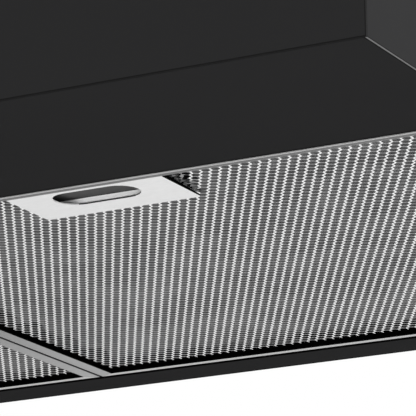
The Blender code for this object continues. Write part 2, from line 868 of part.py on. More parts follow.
def build_damper():
    """Two flaps on one rod, their knuckles side by side along it."""
    rod(
        "damper_rod",
        (0, OUTLET_Y, ROD_HEIGHT),
        ROD_RADIUS,
        OUTLET_LENGTH,
        X_AXIS,
        SPRING_STEEL,
        segments=16,
    )
    reach = OUTLET_DEPTH / 2 - SHEET - RUNNING
    half_length = OUTLET_LENGTH / 2 - 2 * SHEET
    near = KNUCKLE_RADIUS + RUNNING
    flaps = (("front_damper_flap", -1, FRONT_KNUCKLE_X), ("rear_damper_flap", 1, REAR_KNUCKLE_X))
    for flap_name, sign, first in flaps:
        ends = sorted((OUTLET_Y + sign * near, OUTLET_Y + sign * reach))
        flap = block(
            flap_name,
            (-half_length, ends[0], ROD_HEIGHT - FLAP_THICK / 2),
            (half_length, ends[1], ROD_HEIGHT + FLAP_THICK / 2),
            ALUMINIUM,
        )
        for index in range(2):
            x = first + index * KNUCKLE_PITCH
            half = KNUCKLE_LENGTH / 2
            arm = sorted((OUTLET_Y, OUTLET_Y + sign * (near + FLAP_LAP)))
            join(
                flap,
                block(
                    f"{flap_name}_arm_{index + 1}",
                    (x - half, arm[0], ROD_HEIGHT - FLAP_THICK / 2),
                    (x + half, arm[1], ROD_HEIGHT + FLAP_THICK / 2),
                    collection=cutters,
                ),
                rod(
                    f"{flap_name}_knuckle_{index + 1}",
                    (x, OUTLET_Y, ROD_HEIGHT),
                    KNUCKLE_RADIUS,
                    KNUCKLE_LENGTH + SHEET,
                    X_AXIS,
                    collection=cutters,
                    segments=16,
                ),
            )
        cut(
            flap,
            cut_rod(
                f"{flap_name}_bore",
                (0, OUTLET_Y, ROD_HEIGHT),
                ROD_RADIUS + RUNNING,
                OUTLET_LENGTH,
                X_AXIS,
                16,
            ),
        )
        pivot(f"{flap_name}_hinge", (0, OUTLET_Y, ROD_HEIGHT), [flap])


# ---------------------------------------------------------------- blower


def scroll_outline(inset, top):
    """Spiral casing round the shaft that opens upwards, as (y, z) from the shaft."""
    start_y = SCROLL_START_RADIUS * math.sin(math.radians(SCROLL_START_ANGLE - 90)) - inset
    start_radius = SCROLL_START_RADIUS - inset
    start = 90 + math.degrees(math.asin(start_y / start_radius))
    steps = 20
    points = []
    for step in range(steps + 1):
        angle = start + (360 - start) * step / steps
        grow = (angle - SCROLL_START_ANGLE) / (360 - SCROLL_START_ANGLE)
        radius = SCROLL_START_RADIUS + (SCROLL_END_RADIUS - SCROLL_START_RADIUS) * grow - inset
        points.append((radius * math.cos(math.radians(angle)), radius * math.sin(math.radians(angle))))
    return [*points, (points[-1][0], top), (points[0][0], top)]


def shaft_frame(x):
    """Outline x and y become the object's Y and Z, and its thickness runs along X."""
    turn = Matrix(((0, 0, 1, 0), (1, 0, 0, 0), (0, 1, 0, 0), (0, 0, 0, 1)))
    return Matrix.Translation((x, SHAFT_Y, SHAFT_Z)) @ turn


def build_scroll(side, x):
    top = SCROLL_TOP - SHAFT_Z
    scroll = outline(
        f"{side}_scroll", scroll_outline(0, top), SCROLL_WIDTH, shaft_frame(x), GALVANISED
    )
    cut(
        scroll,
        outline(
            f"{side}_scroll_hollow",
            scroll_outline(SCROLL_WALL, top + THROUGH),
            SCROLL_WIDTH - 2 * SCROLL_WALL,
            shaft_frame(x),
            collection=cutters,
        ),
        cut_rod(
            f"{side}_scroll_inlets",
            (x, SHAFT_Y, SHAFT_Z),
            INLET_RADIUS,
            SCROLL_WIDTH + THROUGH,
            X_AXIS,
        ),
    )


def build_impeller(side, x):
    """Double-inlet wheel: centre disc and hub, blades all round, a ring at each end."""
    half = WHEEL_WIDTH / 2
    bore = SHAFT_RADIUS + GAP
    disc = WHEEL_RADIUS - BLADE_DEPTH / 3
    centre = (x, SHAFT_Y, SHAFT_Z)
    profile = [
        (HUB_RADIUS, HUB_LENGTH / 2),
        (HUB_RADIUS, WHEEL_DISC / 2),
        (disc, WHEEL_DISC / 2),
        (disc, -WHEEL_DISC / 2),
        (HUB_RADIUS, -WHEEL_DISC / 2),
        (HUB_RADIUS, -HUB_LENGTH / 2),
        (bore, -HUB_LENGTH / 2),
        (bore, HUB_LENGTH / 2),
    ]
    wheel = turned(f"{side}_impeller", profile, centre, X_AXIS, GALVANISED, closed=True, steps=32)
    shape = bmesh.new()
    for blade in range(WHEEL_BLADES):
        turn = Matrix.Rotation(math.tau * (blade + 0.5) / WHEEL_BLADES, 4, "Z")
        out = Matrix.Translation((WHEEL_RADIUS - BLADE_DEPTH / 2 - BLADE_INSET, 0, 0))
        lean = Matrix.Rotation(math.radians(BLADE_LEAN), 4, "Z")
        size = Matrix.Diagonal((BLADE_DEPTH, BLADE_THICK, WHEEL_WIDTH - WHEEL_RING_WIDTH, 1.0))
        bmesh.ops.create_cube(shape, size=1.0, matrix=turn @ out @ lean @ size)
    mesh = bpy.data.meshes.new(f"{side}_blades")
    shape.to_mesh(mesh)
    shape.free()
    blades = place(f"{side}_blades", mesh, None, Matrix.Translation(centre) @ X_AXIS, cutters)
    join(wheel, blades)
    for end, sign in (("inner", -1), ("outer", 1)):
        low, high = sorted((sign * half, sign * (half - WHEEL_RING_WIDTH)))
        join(
            wheel,
            ring(
                f"{side}_{end}_wheel_ring",
                WHEEL_RADIUS - WHEEL_RING_DEPTH,
                WHEEL_RADIUS,
                low,
                high,
                centre,
                X_AXIS,
                collection=cutters,
            ),
        )
    return wheel


def build_motor():
    half = MOTOR_LENGTH / 2
    bore = SHAFT_RADIUS + GAP
    profile = [
        (MOTOR_BOSS, half),
        (MOTOR_BOSS_FOOT, half - MOTOR_BOSS_HEIGHT),
        (MOTOR_RADIUS - MOTOR_BELL_INSET, half - MOTOR_BELL_HEIGHT),
        (MOTOR_RADIUS, half - MOTOR_SHOULDER),
        (MOTOR_RADIUS, MOTOR_SHOULDER - half),
        (MOTOR_RADIUS - MOTOR_BELL_INSET, MOTOR_BELL_HEIGHT - half),
        (MOTOR_BOSS_FOOT, MOTOR_BOSS_HEIGHT - half),
        (MOTOR_BOSS, -half),
        (bore, -half),
        (bore, half),
    ]
    turned("motor", profile, (0, SHAFT_Y, SHAFT_Z), X_AXIS, MOTOR, closed=True)
    inner = MOTOR_RADIUS + GAP
    bracket = ring(
        "motor_bracket",
        inner,
        inner + STRAP_THICK,
        -STRAP_WIDTH / 2,
        STRAP_WIDTH / 2,
        (0, SHAFT_Y, SHAFT_Z),
        X_AXIS,
        GALVANISED,
        steps=40,
    )
    join(
        bracket,
        block(
            "bracket_post",
            (POST_INSET - STRAP_WIDTH / 2, SHAFT_Y - POST_DEPTH / 2, SHAFT_Z + inner + STRAP_THICK / 2),
            (STRAP_WIDTH / 2 - POST_INSET, SHAFT_Y + POST_DEPTH / 2, SCROLL_TOP - SHEET / 2),
            collection=cutters,
        ),
        block(
            "bracket_foot",
            (-STRAP_WIDTH, SHAFT_Y - FOOT_DEPTH / 2, SCROLL_TOP - SHEET),
            (STRAP_WIDTH, SHAFT_Y + FOOT_DEPTH / 2, SCROLL_TOP),
            collection=cutters,
        ),
    )
    post_bore = cut_rod("bracket_bore", (0, SHAFT_Y, SHAFT_Z), inner, STRAP_WIDTH * 2, X_AXIS, 40)
    cut(bracket, post_bore)


def build_blower():
    build_motor()
    shaft_length = 2 * (SCROLL_X + SCROLL_WIDTH / 2 - SHAFT_INSET)
    shaft = rod(
        "blower_shaft",
        (0, SHAFT_Y, SHAFT_Z),
        SHAFT_RADIUS,
        shaft_length,
        X_AXIS,
        SPRING_STEEL,
        segments=24,
    )
    moving = [shaft]
    for side, sign in (("left", -1), ("right", 1)):
        build_scroll(side, sign * SCROLL_X)
        moving.append(build_impeller(side, sign * SCROLL_X))
    pivot("blower_axis", (0, SHAFT_Y, SHAFT_Z), moving)


# ---------------------------------------------------------------- wiring


def build_wiring():
    half = BOX_SIZE / 2
    low = BOX_TOP - BOX_HEIGHT
    box = block(
        "wiring_box",
        (BOX_X - half, BOX_Y - half, low),
        (BOX_X + half, BOX_Y + half, BOX_TOP),
        GALVANISED,
    )
    cut(
        box,
        cut_block(
            "wiring_box_hollow",
            (BOX_X - half + SHEET, BOX_Y - half + SHEET, low - SHEET),
            (BOX_X + half - SHEET, BOX_Y + half - SHEET, BOX_TOP - SHEET),
        ),
        cut_rod("box_cable_hole", (BOX_X, BOX_Y, BOX_TOP), CABLE_HOLE, THROUGH),
    )
    cover_high = low - GAP
    cover = block(
        "wiring_box_cover",
        (BOX_X - half, BOX_Y - half, cover_high - SHEET),
        (BOX_X + half, BOX_Y + half, cover_high),
        GALVANISED,
    )
    for index, sign in enumerate((-1, 1), start=1):
        x = BOX_X + sign * (half - SHEET - BOSS_SIZE / 2)
        y = BOX_Y + sign * (half - SHEET - BOSS_SIZE / 2)
        join(
            box,
            block(
                f"cover_boss_{index}",
                (x - BOSS_SIZE / 2 - SHEET / 2, y - BOSS_SIZE / 2 - SHEET / 2, low),
                (x + BOSS_SIZE / 2 + SHEET / 2, y + BOSS_SIZE / 2 + SHEET / 2, low + BOSS_HEIGHT),
                collection=cutters,
            ),
        )
        hole = cut_rod(
            f"cover_hole_{index}",
            (x, y, low),
            SCREW_RADIUS + GAP,
            2 * SCREW_LENGTH + 4 * SHEET,
            segments=16,
        )
        cut(box, hole)
        cut(cover, hole)
        under = cover_high - SHEET - GAP
        screw = [
            (0, under + SCREW_LENGTH),
            (SCREW_RADIUS, under + SCREW_LENGTH),
            (SCREW_RADIUS, under),
            (SCREW_HEAD, under),
            (SCREW_HEAD * SCREW_HEAD_TAPER, under - SCREW_HEAD_HEIGHT),
            (0, under - SCREW_HEAD_HEIGHT),
        ]
        turned(f"cover_screw_{index}", screw, (x, y, 0), Z_AXIS, SPRING_STEEL, steps=16)
    terminal_front = BOX_Y - half + SHEET + TERMINAL_FROM_WALL
    terminal_high = BOX_TOP - SHEET - GAP
    terminals = block(
        "terminal_block",
        (BOX_X - TERMINAL_WIDTH / 2, terminal_front, terminal_high - TERMINAL_SIZE),
        (BOX_X + TERMINAL_WIDTH / 2, terminal_front + TERMINAL_SIZE, terminal_high),
        GREY_PLASTIC,
    )
    for index in range(3):
        x = BOX_X + (index - 1) * TERMINAL_PITCH
        middle = (x, terminal_front + TERMINAL_SIZE / 2, terminal_high - TERMINAL_SIZE / 2)
        length = TERMINAL_SIZE + THROUGH
        cut(terminals, cut_rod(f"terminal_{index + 1}", middle, TERMINAL_BORE, length, Y_AXIS, 12))
    grommet_low = BOX_TOP - SHEET - GROMMET_BELOW
    grommet = [
        (CABLE_HOLE + GROMMET_LIP, GAP + GROMMET_THICK),
        (CABLE_HOLE + GROMMET_LIP, GAP),
        (CABLE_HOLE - GAP, GAP),
        (CABLE_HOLE - GAP, grommet_low),
        (CABLE_BORE, grommet_low),
        (CABLE_BORE, GAP + GROMMET_THICK),
    ]
    turned("cable_grommet", grommet, (BOX_X, BOX_Y, 0), Z_AXIS, BLACK_PLASTIC, closed=True)
    can = CAPACITOR_RADIUS
    end = CAPACITOR_LENGTH / 2
    profile = [
        (0, end),
        (can - CAPACITOR_EDGE, end),
        (can, end - CAPACITOR_EDGE),
        (can, -end),
        (0, -end),
    ]
    middle = (BOX_X - half - CAPACITOR_FROM_BOX, BOX_Y, -SHEET - 2 * GAP - can)
    turned("capacitor", profile, middle, Y_AXIS, ALUMINIUM, steps=24)


build_top_panel()
build_front_panel()
build_side_panels()
build_back_panel()
build_bottom_pan()
build_filters()
build_lamps()
build_controls()
build_collar()
build_damper()
build_blower()
build_wiring()
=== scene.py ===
"""Finishes and fine shapes of the under cabinet range hood, laid out as a Blender add-on.

Sizes are in metres. X runs along the width, -Y is the front and +Z is up.
"""

import json
import math

import bmesh
import bpy
from mathutils import Matrix, Vector


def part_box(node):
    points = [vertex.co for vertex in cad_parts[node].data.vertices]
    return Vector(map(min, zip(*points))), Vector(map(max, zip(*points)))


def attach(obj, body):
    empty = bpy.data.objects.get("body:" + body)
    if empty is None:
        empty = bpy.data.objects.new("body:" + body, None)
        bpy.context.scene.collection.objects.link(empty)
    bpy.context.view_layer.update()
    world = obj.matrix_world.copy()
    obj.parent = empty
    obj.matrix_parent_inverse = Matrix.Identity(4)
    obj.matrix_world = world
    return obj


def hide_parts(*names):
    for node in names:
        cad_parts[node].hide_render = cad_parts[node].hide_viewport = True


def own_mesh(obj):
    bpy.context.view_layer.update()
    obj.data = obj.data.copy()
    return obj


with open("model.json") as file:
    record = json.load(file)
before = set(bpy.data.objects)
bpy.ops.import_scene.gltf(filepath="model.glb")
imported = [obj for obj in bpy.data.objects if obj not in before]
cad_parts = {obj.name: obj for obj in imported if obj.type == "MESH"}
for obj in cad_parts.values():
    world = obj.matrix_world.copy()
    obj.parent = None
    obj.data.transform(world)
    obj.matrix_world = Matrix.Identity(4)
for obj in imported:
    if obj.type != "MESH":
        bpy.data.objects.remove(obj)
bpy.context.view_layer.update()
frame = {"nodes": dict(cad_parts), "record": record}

bl_info = {
    "name": "Under cabinet range hood",
    "version": (1, 0, 0),
    "blender": (4, 5, 0),
    "location": "View3D > Sidebar > Range hood",
    "description": "Builds a range hood's painted panels, grease filters, lamps, controls and blower",
    "category": "Add Mesh",
}

BODY_OF = {
    node: body
    for body, nodes in frame["record"]["behaviour"]["bodies"].items()
    for node in nodes
}
SIDES = ("left", "right")
PAN_LOW, PAN_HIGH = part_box("bottom_pan")
FRONT_LOW, FRONT_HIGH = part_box("front_panel")
BACK_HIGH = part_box("back_panel")[1]
FILTER_LOW, FILTER_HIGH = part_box("right_filter_frame")
UNDERSIDE = PAN_LOW.z
HALF_WIDTH = FRONT_HIGH.x
TINY = 0.000001

# Housing
SIDE_CORNER = 0.7  # over the front's corner
RIM_ROUNDING = 0.0016
RIM_LAP = 0.001  # the rim's edge is at least this far from the pan's rear
PAN_ROUNDING = 0.0004
STAMP_HALF = 0.13  # stamped field in the back panel
STAMP_LOW, STAMP_HIGH = -0.100, -0.030
STAMP_RIM = 0.0012
STAMP_DEPTH = 0.0005

# Filter frames
FRAME_SHEET = 0.0008
FRAME_BEND = 0.0004
LIT_WALL = 0.00065  # lit part of the outer wall
MITRE_GAP = 0.00004
WALL_REACH = 0.0005  # faces this near the outside belong to an outer wall

# Honeycomb and foil
HONEYCOMB_ROW = math.sqrt(3) / 2  # row spacing over hole pitch
PHASE = (0.75, 0.08)  # one hole's centre from the front right corner, over pitch and row
MESH_MARGIN = 0.0004  # under the frame's lips
MESH_UNDER_FRONT = 0.003
MESH_CROWN = (0.00010, 0.00040)
INNER_CROWN = (0.0003, 0.0003)
INNER_STRAND = 0.0012
PLATE_LAP = 0.004  # mesh under the latch plate
SIDE_SHADE, REAR_SHADE = 0.0015, 0.003
DENT_WIDTH = 0.0085
DENT_UNDER_PLATE = 0.003
DENT_BEND, DENT_RISE = 0.0008, 0.0003
FOIL_SHEET = 0.00015
FOIL_BELOW_TOP = 0.0004
FOIL_SHADE = 0.009
FOIL_RAGGED = (0.004, 0.002)

# Latches
PLATE_CORNER = 0.0015
PLATE_EDGE = 0.00010
LOWEST_WALL = 0.0007
SLIDE_EDGE = 0.00012
SLIDE_RECESS = 0.001

# Lamps and buttons
LENS_RINGS = 12
LENS_CHAMFER = (0.0006, 0.0004)
LENS_RIM = 0.0012
RING_RISE = 0.0003
DISH_BORDER, DISH_DEPTH = 0.0011, 0.0003
CAP_ROUNDING = 0.0004
MARK_THICK = 0.0002
DOT_RADIUS, DOT_PITCH = 0.0009, 0.0032
POWER_RING = (0.0030, 0.0023)
SUN_RADIUS = 0.0016
SUN_RAY = (0.0004, MARK_THICK, 0.0012)
SUN_RAY_OUT = 0.0029
SUN_RAYS = 8

SOFTBOXES = {  # place, size and power in watts
    "side_softbox": ((2.6, 0.2, 0.75), 1.8, 102.0),
    "front_softbox": ((0.4, -2.8, 0.5), 1.8, 20.0),
    "top_softbox": ((-1.2, -0.4, 2.6), 2.4, 16.0),
}


# ------------------------------------------------------------------ settings


def length_setting(name, description, low, high, default):
    """A length that the user can set."""
    return bpy.props.FloatProperty(
        name=name,
        description=description,
        subtype="DISTANCE",
        unit="LENGTH",
        min=low,
        max=high,
        default=default,
    )


class HOOD_PG_paint(bpy.types.PropertyGroup):
    """Black paint of the sheet-metal housing."""

    colour: bpy.props.FloatVectorProperty(
        name="Paint colour",
        description="Base colour of the painted sheet metal",
        subtype="COLOR",
        size=3,
        min=0.0,
        max=1.0,
        default=(0.0192, 0.0192, 0.0196),
    )
    roughness: bpy.props.FloatProperty(
        name="Paint roughness",
        description="How dull the paint is",
        min=0.0,
        max=1.0,
        default=0.62,
    )
    corner: length_setting(
        "Folded corner",
        "Width of the rounding along the outer edges of the panels",
        0.0001,
        0.0008,
        0.00045,
    )


class HOOD_PG_filter(bpy.types.PropertyGroup):
    """Sizes of the two grease filters."""

    pitch: length_setting(
        "Hole pitch", "Distance between neighbouring holes of the outer mesh", 0.003, 0.02, 0.004814
    )
    strand: length_setting(
        "Strand width", "Width of the metal between two holes of the outer mesh", 0.0003, 0.003, 0.00086
    )
    front_lip: length_setting("Front lip", "Width of the frame's lip at the front", 0.002, 0.02, 0.0035)
    rear_lip: length_setting("Rear lip", "Width of the frame's lip at the rear", 0.002, 0.02, 0.0043)
    side_lip: length_setting("Side lip", "Width of the frame's lip at its sides", 0.002, 0.02, 0.008)
    foil_wave: length_setting(
        "Foil fold", "Height of the folds in the foil behind the outer mesh", 0.0, 0.002, 0.0007
    )


class HOOD_PG_stage(bpy.types.PropertyGroup):
    """Camera, lights and floor."""

    lens: bpy.props.FloatProperty(
        name="Lens",
        description="Focal length of the camera, in millimetres",
        min=20.0,
        max=400.0,
        default=285.49,
    )
    camera: bpy.props.FloatVectorProperty(
        name="Camera place",
        description="Where the camera stands",
        subtype="TRANSLATION",
        unit="LENGTH",
        size=3,
        default=(0.88085, -1.32461, -0.53597),
    )
    aim: bpy.props.FloatVectorProperty(
        name="Camera aim",
        description="Turn to the left of +Y, tilt upwards, and roll of the camera",
        subtype="EULER",
        unit="ROTATION",
        size=3,
        default=(0.487956, 0.276109, -0.0084725),
    )
    floor: bpy.props.FloatProperty(
        name="Floor height",
        description="Height of the pale floor under the hood",
        subtype="DISTANCE",
        unit="LENGTH",
        default=-0.66,
    )
    ambient: bpy.props.FloatProperty(
        name="Studio brightness",
        description="Brightness of the white studio round the hood",
        min=0.0,
        max=5.0,
        default=0.77,
    )


# ------------------------------------------------------------------ finishes


def add_node(tree, kind, **sockets):
    """A shader node with values set on its sockets by name."""
    made = tree.nodes.new(kind)
    for name, value in sockets.items():
        made.inputs[name.replace("_", " ")].default_value = value
    return made


def new_group(name, inputs, outputs):
    """An empty shader node group with these sockets, and its input and output nodes."""
    group = bpy.data.node_groups.new(name, "ShaderNodeTree")
    for socket_name, kind, value in inputs:
        socket = group.interface.new_socket(name=socket_name, in_out="INPUT", socket_type=kind)
        if value is not None:
            socket.default_value = value
    for socket_name, kind in outputs:
        group.interface.new_socket(name=socket_name, in_out="OUTPUT", socket_type=kind)
    return group, group.nodes.new("NodeGroupInput"), group.nodes.new("NodeGroupOutput")


def add_math(tree, operation, index, value, clamp=False):
    """A math node with one of its numbers set."""
    made = tree.nodes.new("ShaderNodeMath")
    made.operation = operation
    made.inputs[index].default_value = value
    made.use_clamp = clamp
    return made


def new_grain(name, scale):
    """A node group that gives a grain and a height, for one scale and one contrast."""
    return new_group(
        name,
        [
            ("Vector", "NodeSocketVector", None),
            ("Scale", "NodeSocketFloat", scale),
            ("Contrast", "NodeSocketFloat", 1.0),
        ],
        [("Grain", "NodeSocketFloat"), ("Height", "NodeSocketFloat")],
    )


def stretch_grain(group, raw, start, end):
    """Spreads the raw grain about its middle by the group's contrast."""
    links = group.links
    centre = add_math(group, "SUBTRACT", 1, 0.5)
    stretch = add_math(group, "MULTIPLY_ADD", 2, 0.5, clamp=True)
    links.new(raw, centre.inputs[0])
    links.new(centre.outputs[0], stretch.inputs[0])
    links.new(start.outputs["Contrast"], stretch.inputs[1])
    links.new(stretch.outputs[0], end.inputs["Grain"])


def build_fine_grain():
    """Two layers of noise, one coarse and one fine. Stretched coordinates turn it into brushing."""
    group, start, end = new_grain("fine_grain", 900.0)
    links = group.links
    fine = add_node(group, "ShaderNodeTexNoise", Detail=3.0, Roughness=0.6)
    third = add_math(group, "MULTIPLY", 1, 0.31)
    coarse = add_node(group, "ShaderNodeTexNoise", Detail=2.0, Roughness=0.5)
    both = add_node(group, "ShaderNodeMix")
    both.data_type = "FLOAT"
    both.inputs["Factor"].default_value = 0.4
    links.new(start.outputs["Vector"], fine.inputs["Vector"])
    links.new(start.outputs["Vector"], coarse.inputs["Vector"])
    links.new(start.outputs["Scale"], fine.inputs["Scale"])
    links.new(start.outputs["Scale"], third.inputs[0])
    links.new(third.outputs[0], coarse.inputs["Scale"])
    links.new(fine.outputs["Fac"], both.inputs["A"])
    links.new(coarse.outputs["Fac"], both.inputs["B"])
    links.new(fine.outputs["Fac"], end.inputs["Height"])
    stretch_grain(group, both.outputs["Result"], start, end)
    return group


def build_zinc_spangle():
    """Flat crystals of a galvanised sheet, each with its own tone."""
    group, start, end = new_grain("zinc_spangle", 160.0)
    links = group.links
    wobble = add_node(group, "ShaderNodeTexNoise", Scale=220.0, Detail=2.0)
    bend = add_node(group, "ShaderNodeVectorMath")
    bend.operation = "MULTIPLY_ADD"
    bend.inputs[1].default_value = (0.004, 0.004, 0.004)
    cells = add_node(group, "ShaderNodeTexVoronoi")
    split = add_node(group, "ShaderNodeSeparateColor")
    links.new(start.outputs["Vector"], wobble.inputs["Vector"])
    links.new(wobble.outputs["Color"], bend.inputs[0])
    links.new(start.outputs["Vector"], bend.inputs[2])
    links.new(bend.outputs["Vector"], cells.inputs["Vector"])
    links.new(start.outputs["Scale"], cells.inputs["Scale"])
    links.new(cells.outputs["Color"], split.inputs["Color"])
    links.new(split.outputs["Green"], end.inputs["Height"])
    stretch_grain(group, split.outputs["Red"], start, end)
    return group


def build_handling_film():
    """Soft clouds where a surface is a little duller or darker from dust and handling."""
    group, start, end = new_group(
        "handling_film",
        [
            ("Vector", "NodeSocketVector", None),
            ("Scale", "NodeSocketFloat", 9.0),
            ("Amount", "NodeSocketFloat", 0.3),
        ],
        [("Film", "NodeSocketFloat")],
    )
    links = group.links
    clouds = add_node(group, "ShaderNodeTexNoise", Detail=4.0, Roughness=0.55)
    shape = add_node(group, "ShaderNodeMapRange", From_Min=0.42, From_Max=0.68)
    level = add_node(group, "ShaderNodeMath")
    level.operation = "MULTIPLY"
    links.new(start.outputs["Vector"], clouds.inputs["Vector"])
    links.new(start.outputs["Scale"], clouds.inputs["Scale"])
    links.new(clouds.outputs["Fac"], shape.inputs["Value"])
    links.new(shape.outputs["Result"], level.inputs[0])
    links.new(start.outputs["Amount"], level.inputs[1])
    links.new(level.outputs[0], end.inputs["Film"])
    return group


def build_depth_tone():
    """Goes from 0 at one place along the depth to 1 at another."""
    group, start, end = new_group(
        "depth_tone",
        [
            ("Vector", "NodeSocketVector", None),
            ("From", "NodeSocketFloat", -0.1),
            ("To", "NodeSocketFloat", 0.2),
        ],
        [("Tone", "NodeSocketFloat")],
    )
    links = group.links
    split = add_node(group, "ShaderNodeSeparateXYZ")
    ramp = add_node(group, "ShaderNodeMapRange")
    links.new(start.outputs["Vector"], split.inputs["Vector"])
    links.new(split.outputs["Y"], ramp.inputs["Value"])
    links.new(start.outputs["From"], ramp.inputs["From Min"])
    links.new(start.outputs["To"], ramp.inputs["From Max"])
    links.new(ramp.outputs["Result"], end.inputs["Tone"])
    return group


FINISHES = {}
GROUPS = {}


def add_group(tree, name, **sockets):
    """One of the shared node groups, with values set on its sockets."""
    made = tree.nodes.new("ShaderNodeGroup")
    made.node_tree = GROUPS[name]
    for socket_name, value in sockets.items():
        made.inputs[socket_name].default_value = value
    return made


def finish(
    name,
    colours,
    roughness,
    metallic=0.0,
    pattern="fine_grain",
    scale=900.0,
    stretch=(1.0, 1.0, 1.0),
    turn=0.0,
    contrast=1.0,
    relief=0.0,
    film=0.25,
    film_scale=9.0,
    far_painted_light=None,
    depth=(-0.1, 0.2),
    specular=0.5,
    coat=0.0,
):
    """A material whose colour and roughness follow a grain, with a soft film of dust over it.

    colours and roughness are pairs, for the grain's low and high places. far_painted_light is the pair
    that the
    colours change to along the depth: painted light and shade that follow the depth.
    """
    made = bpy.data.materials.new(name)
    made.use_nodes = True
    tree = made.node_tree
    links = tree.links
    shader = tree.nodes["Principled BSDF"]
    shader.inputs["Metallic"].default_value = metallic
    shader.inputs["Specular IOR Level"].default_value = specular
    shader.inputs["Coat Weight"].default_value = coat
    place = add_node(tree, "ShaderNodeTexCoord")
    mapping = add_node(tree, "ShaderNodeMapping", Scale=stretch, Rotation=(0.0, 0.0, turn))
    grain = add_group(tree, pattern, Scale=scale, Contrast=contrast)
    dust = add_group(tree, "handling_film", Scale=film_scale, Amount=film)
    links.new(place.outputs["Object"], mapping.inputs["Vector"])
    links.new(mapping.outputs["Vector"], grain.inputs["Vector"])
    links.new(place.outputs["Object"], dust.inputs["Vector"])

    def blend(first, second, factor):
        node = add_node(tree, "ShaderNodeMix")
        node.data_type = "RGBA"
        for socket, value in ((node.inputs[6], first), (node.inputs[7], second)):
            if isinstance(value, bpy.types.NodeSocket):
                links.new(value, socket)
            else:
                socket.default_value = (*value, 1.0)
        links.new(factor, node.inputs["Factor"])
        return node.outputs[2]

    colour = blend(*colours, grain.outputs["Grain"])
    if far_painted_light:
        tone = add_group(tree, "depth_tone", From=depth[0], To=depth[1])
        links.new(place.outputs["Object"], tone.inputs["Vector"])
        far = blend(*far_painted_light, grain.outputs["Grain"])
        colour = blend(colour, far, tone.outputs["Tone"])
    shade = tuple(0.82 * part for part in colours[0])
    colour = blend(colour, shade, dust.outputs["Film"])
    links.new(colour, shader.inputs["Base Color"])

    dull = add_node(tree, "ShaderNodeMapRange", To_Min=roughness[0], To_Max=roughness[1])
    more = add_math(tree, "MULTIPLY_ADD", 1, 0.12, clamp=True)
    links.new(grain.outputs["Grain"], dull.inputs["Value"])
    links.new(dust.outputs["Film"], more.inputs[0])
    links.new(dull.outputs["Result"], more.inputs[2])
    links.new(more.outputs[0], shader.inputs["Roughness"])
    if relief:
        bump = add_node(tree, "ShaderNodeBump", Strength=relief, Distance=0.0001)
        links.new(grain.outputs["Height"], bump.inputs["Height"])
        links.new(bump.outputs["Normal"], shader.inputs["Normal"])
    FINISHES[name] = made
    return made


def grey(level, blue=0.0):
    return (level, level, level + blue)


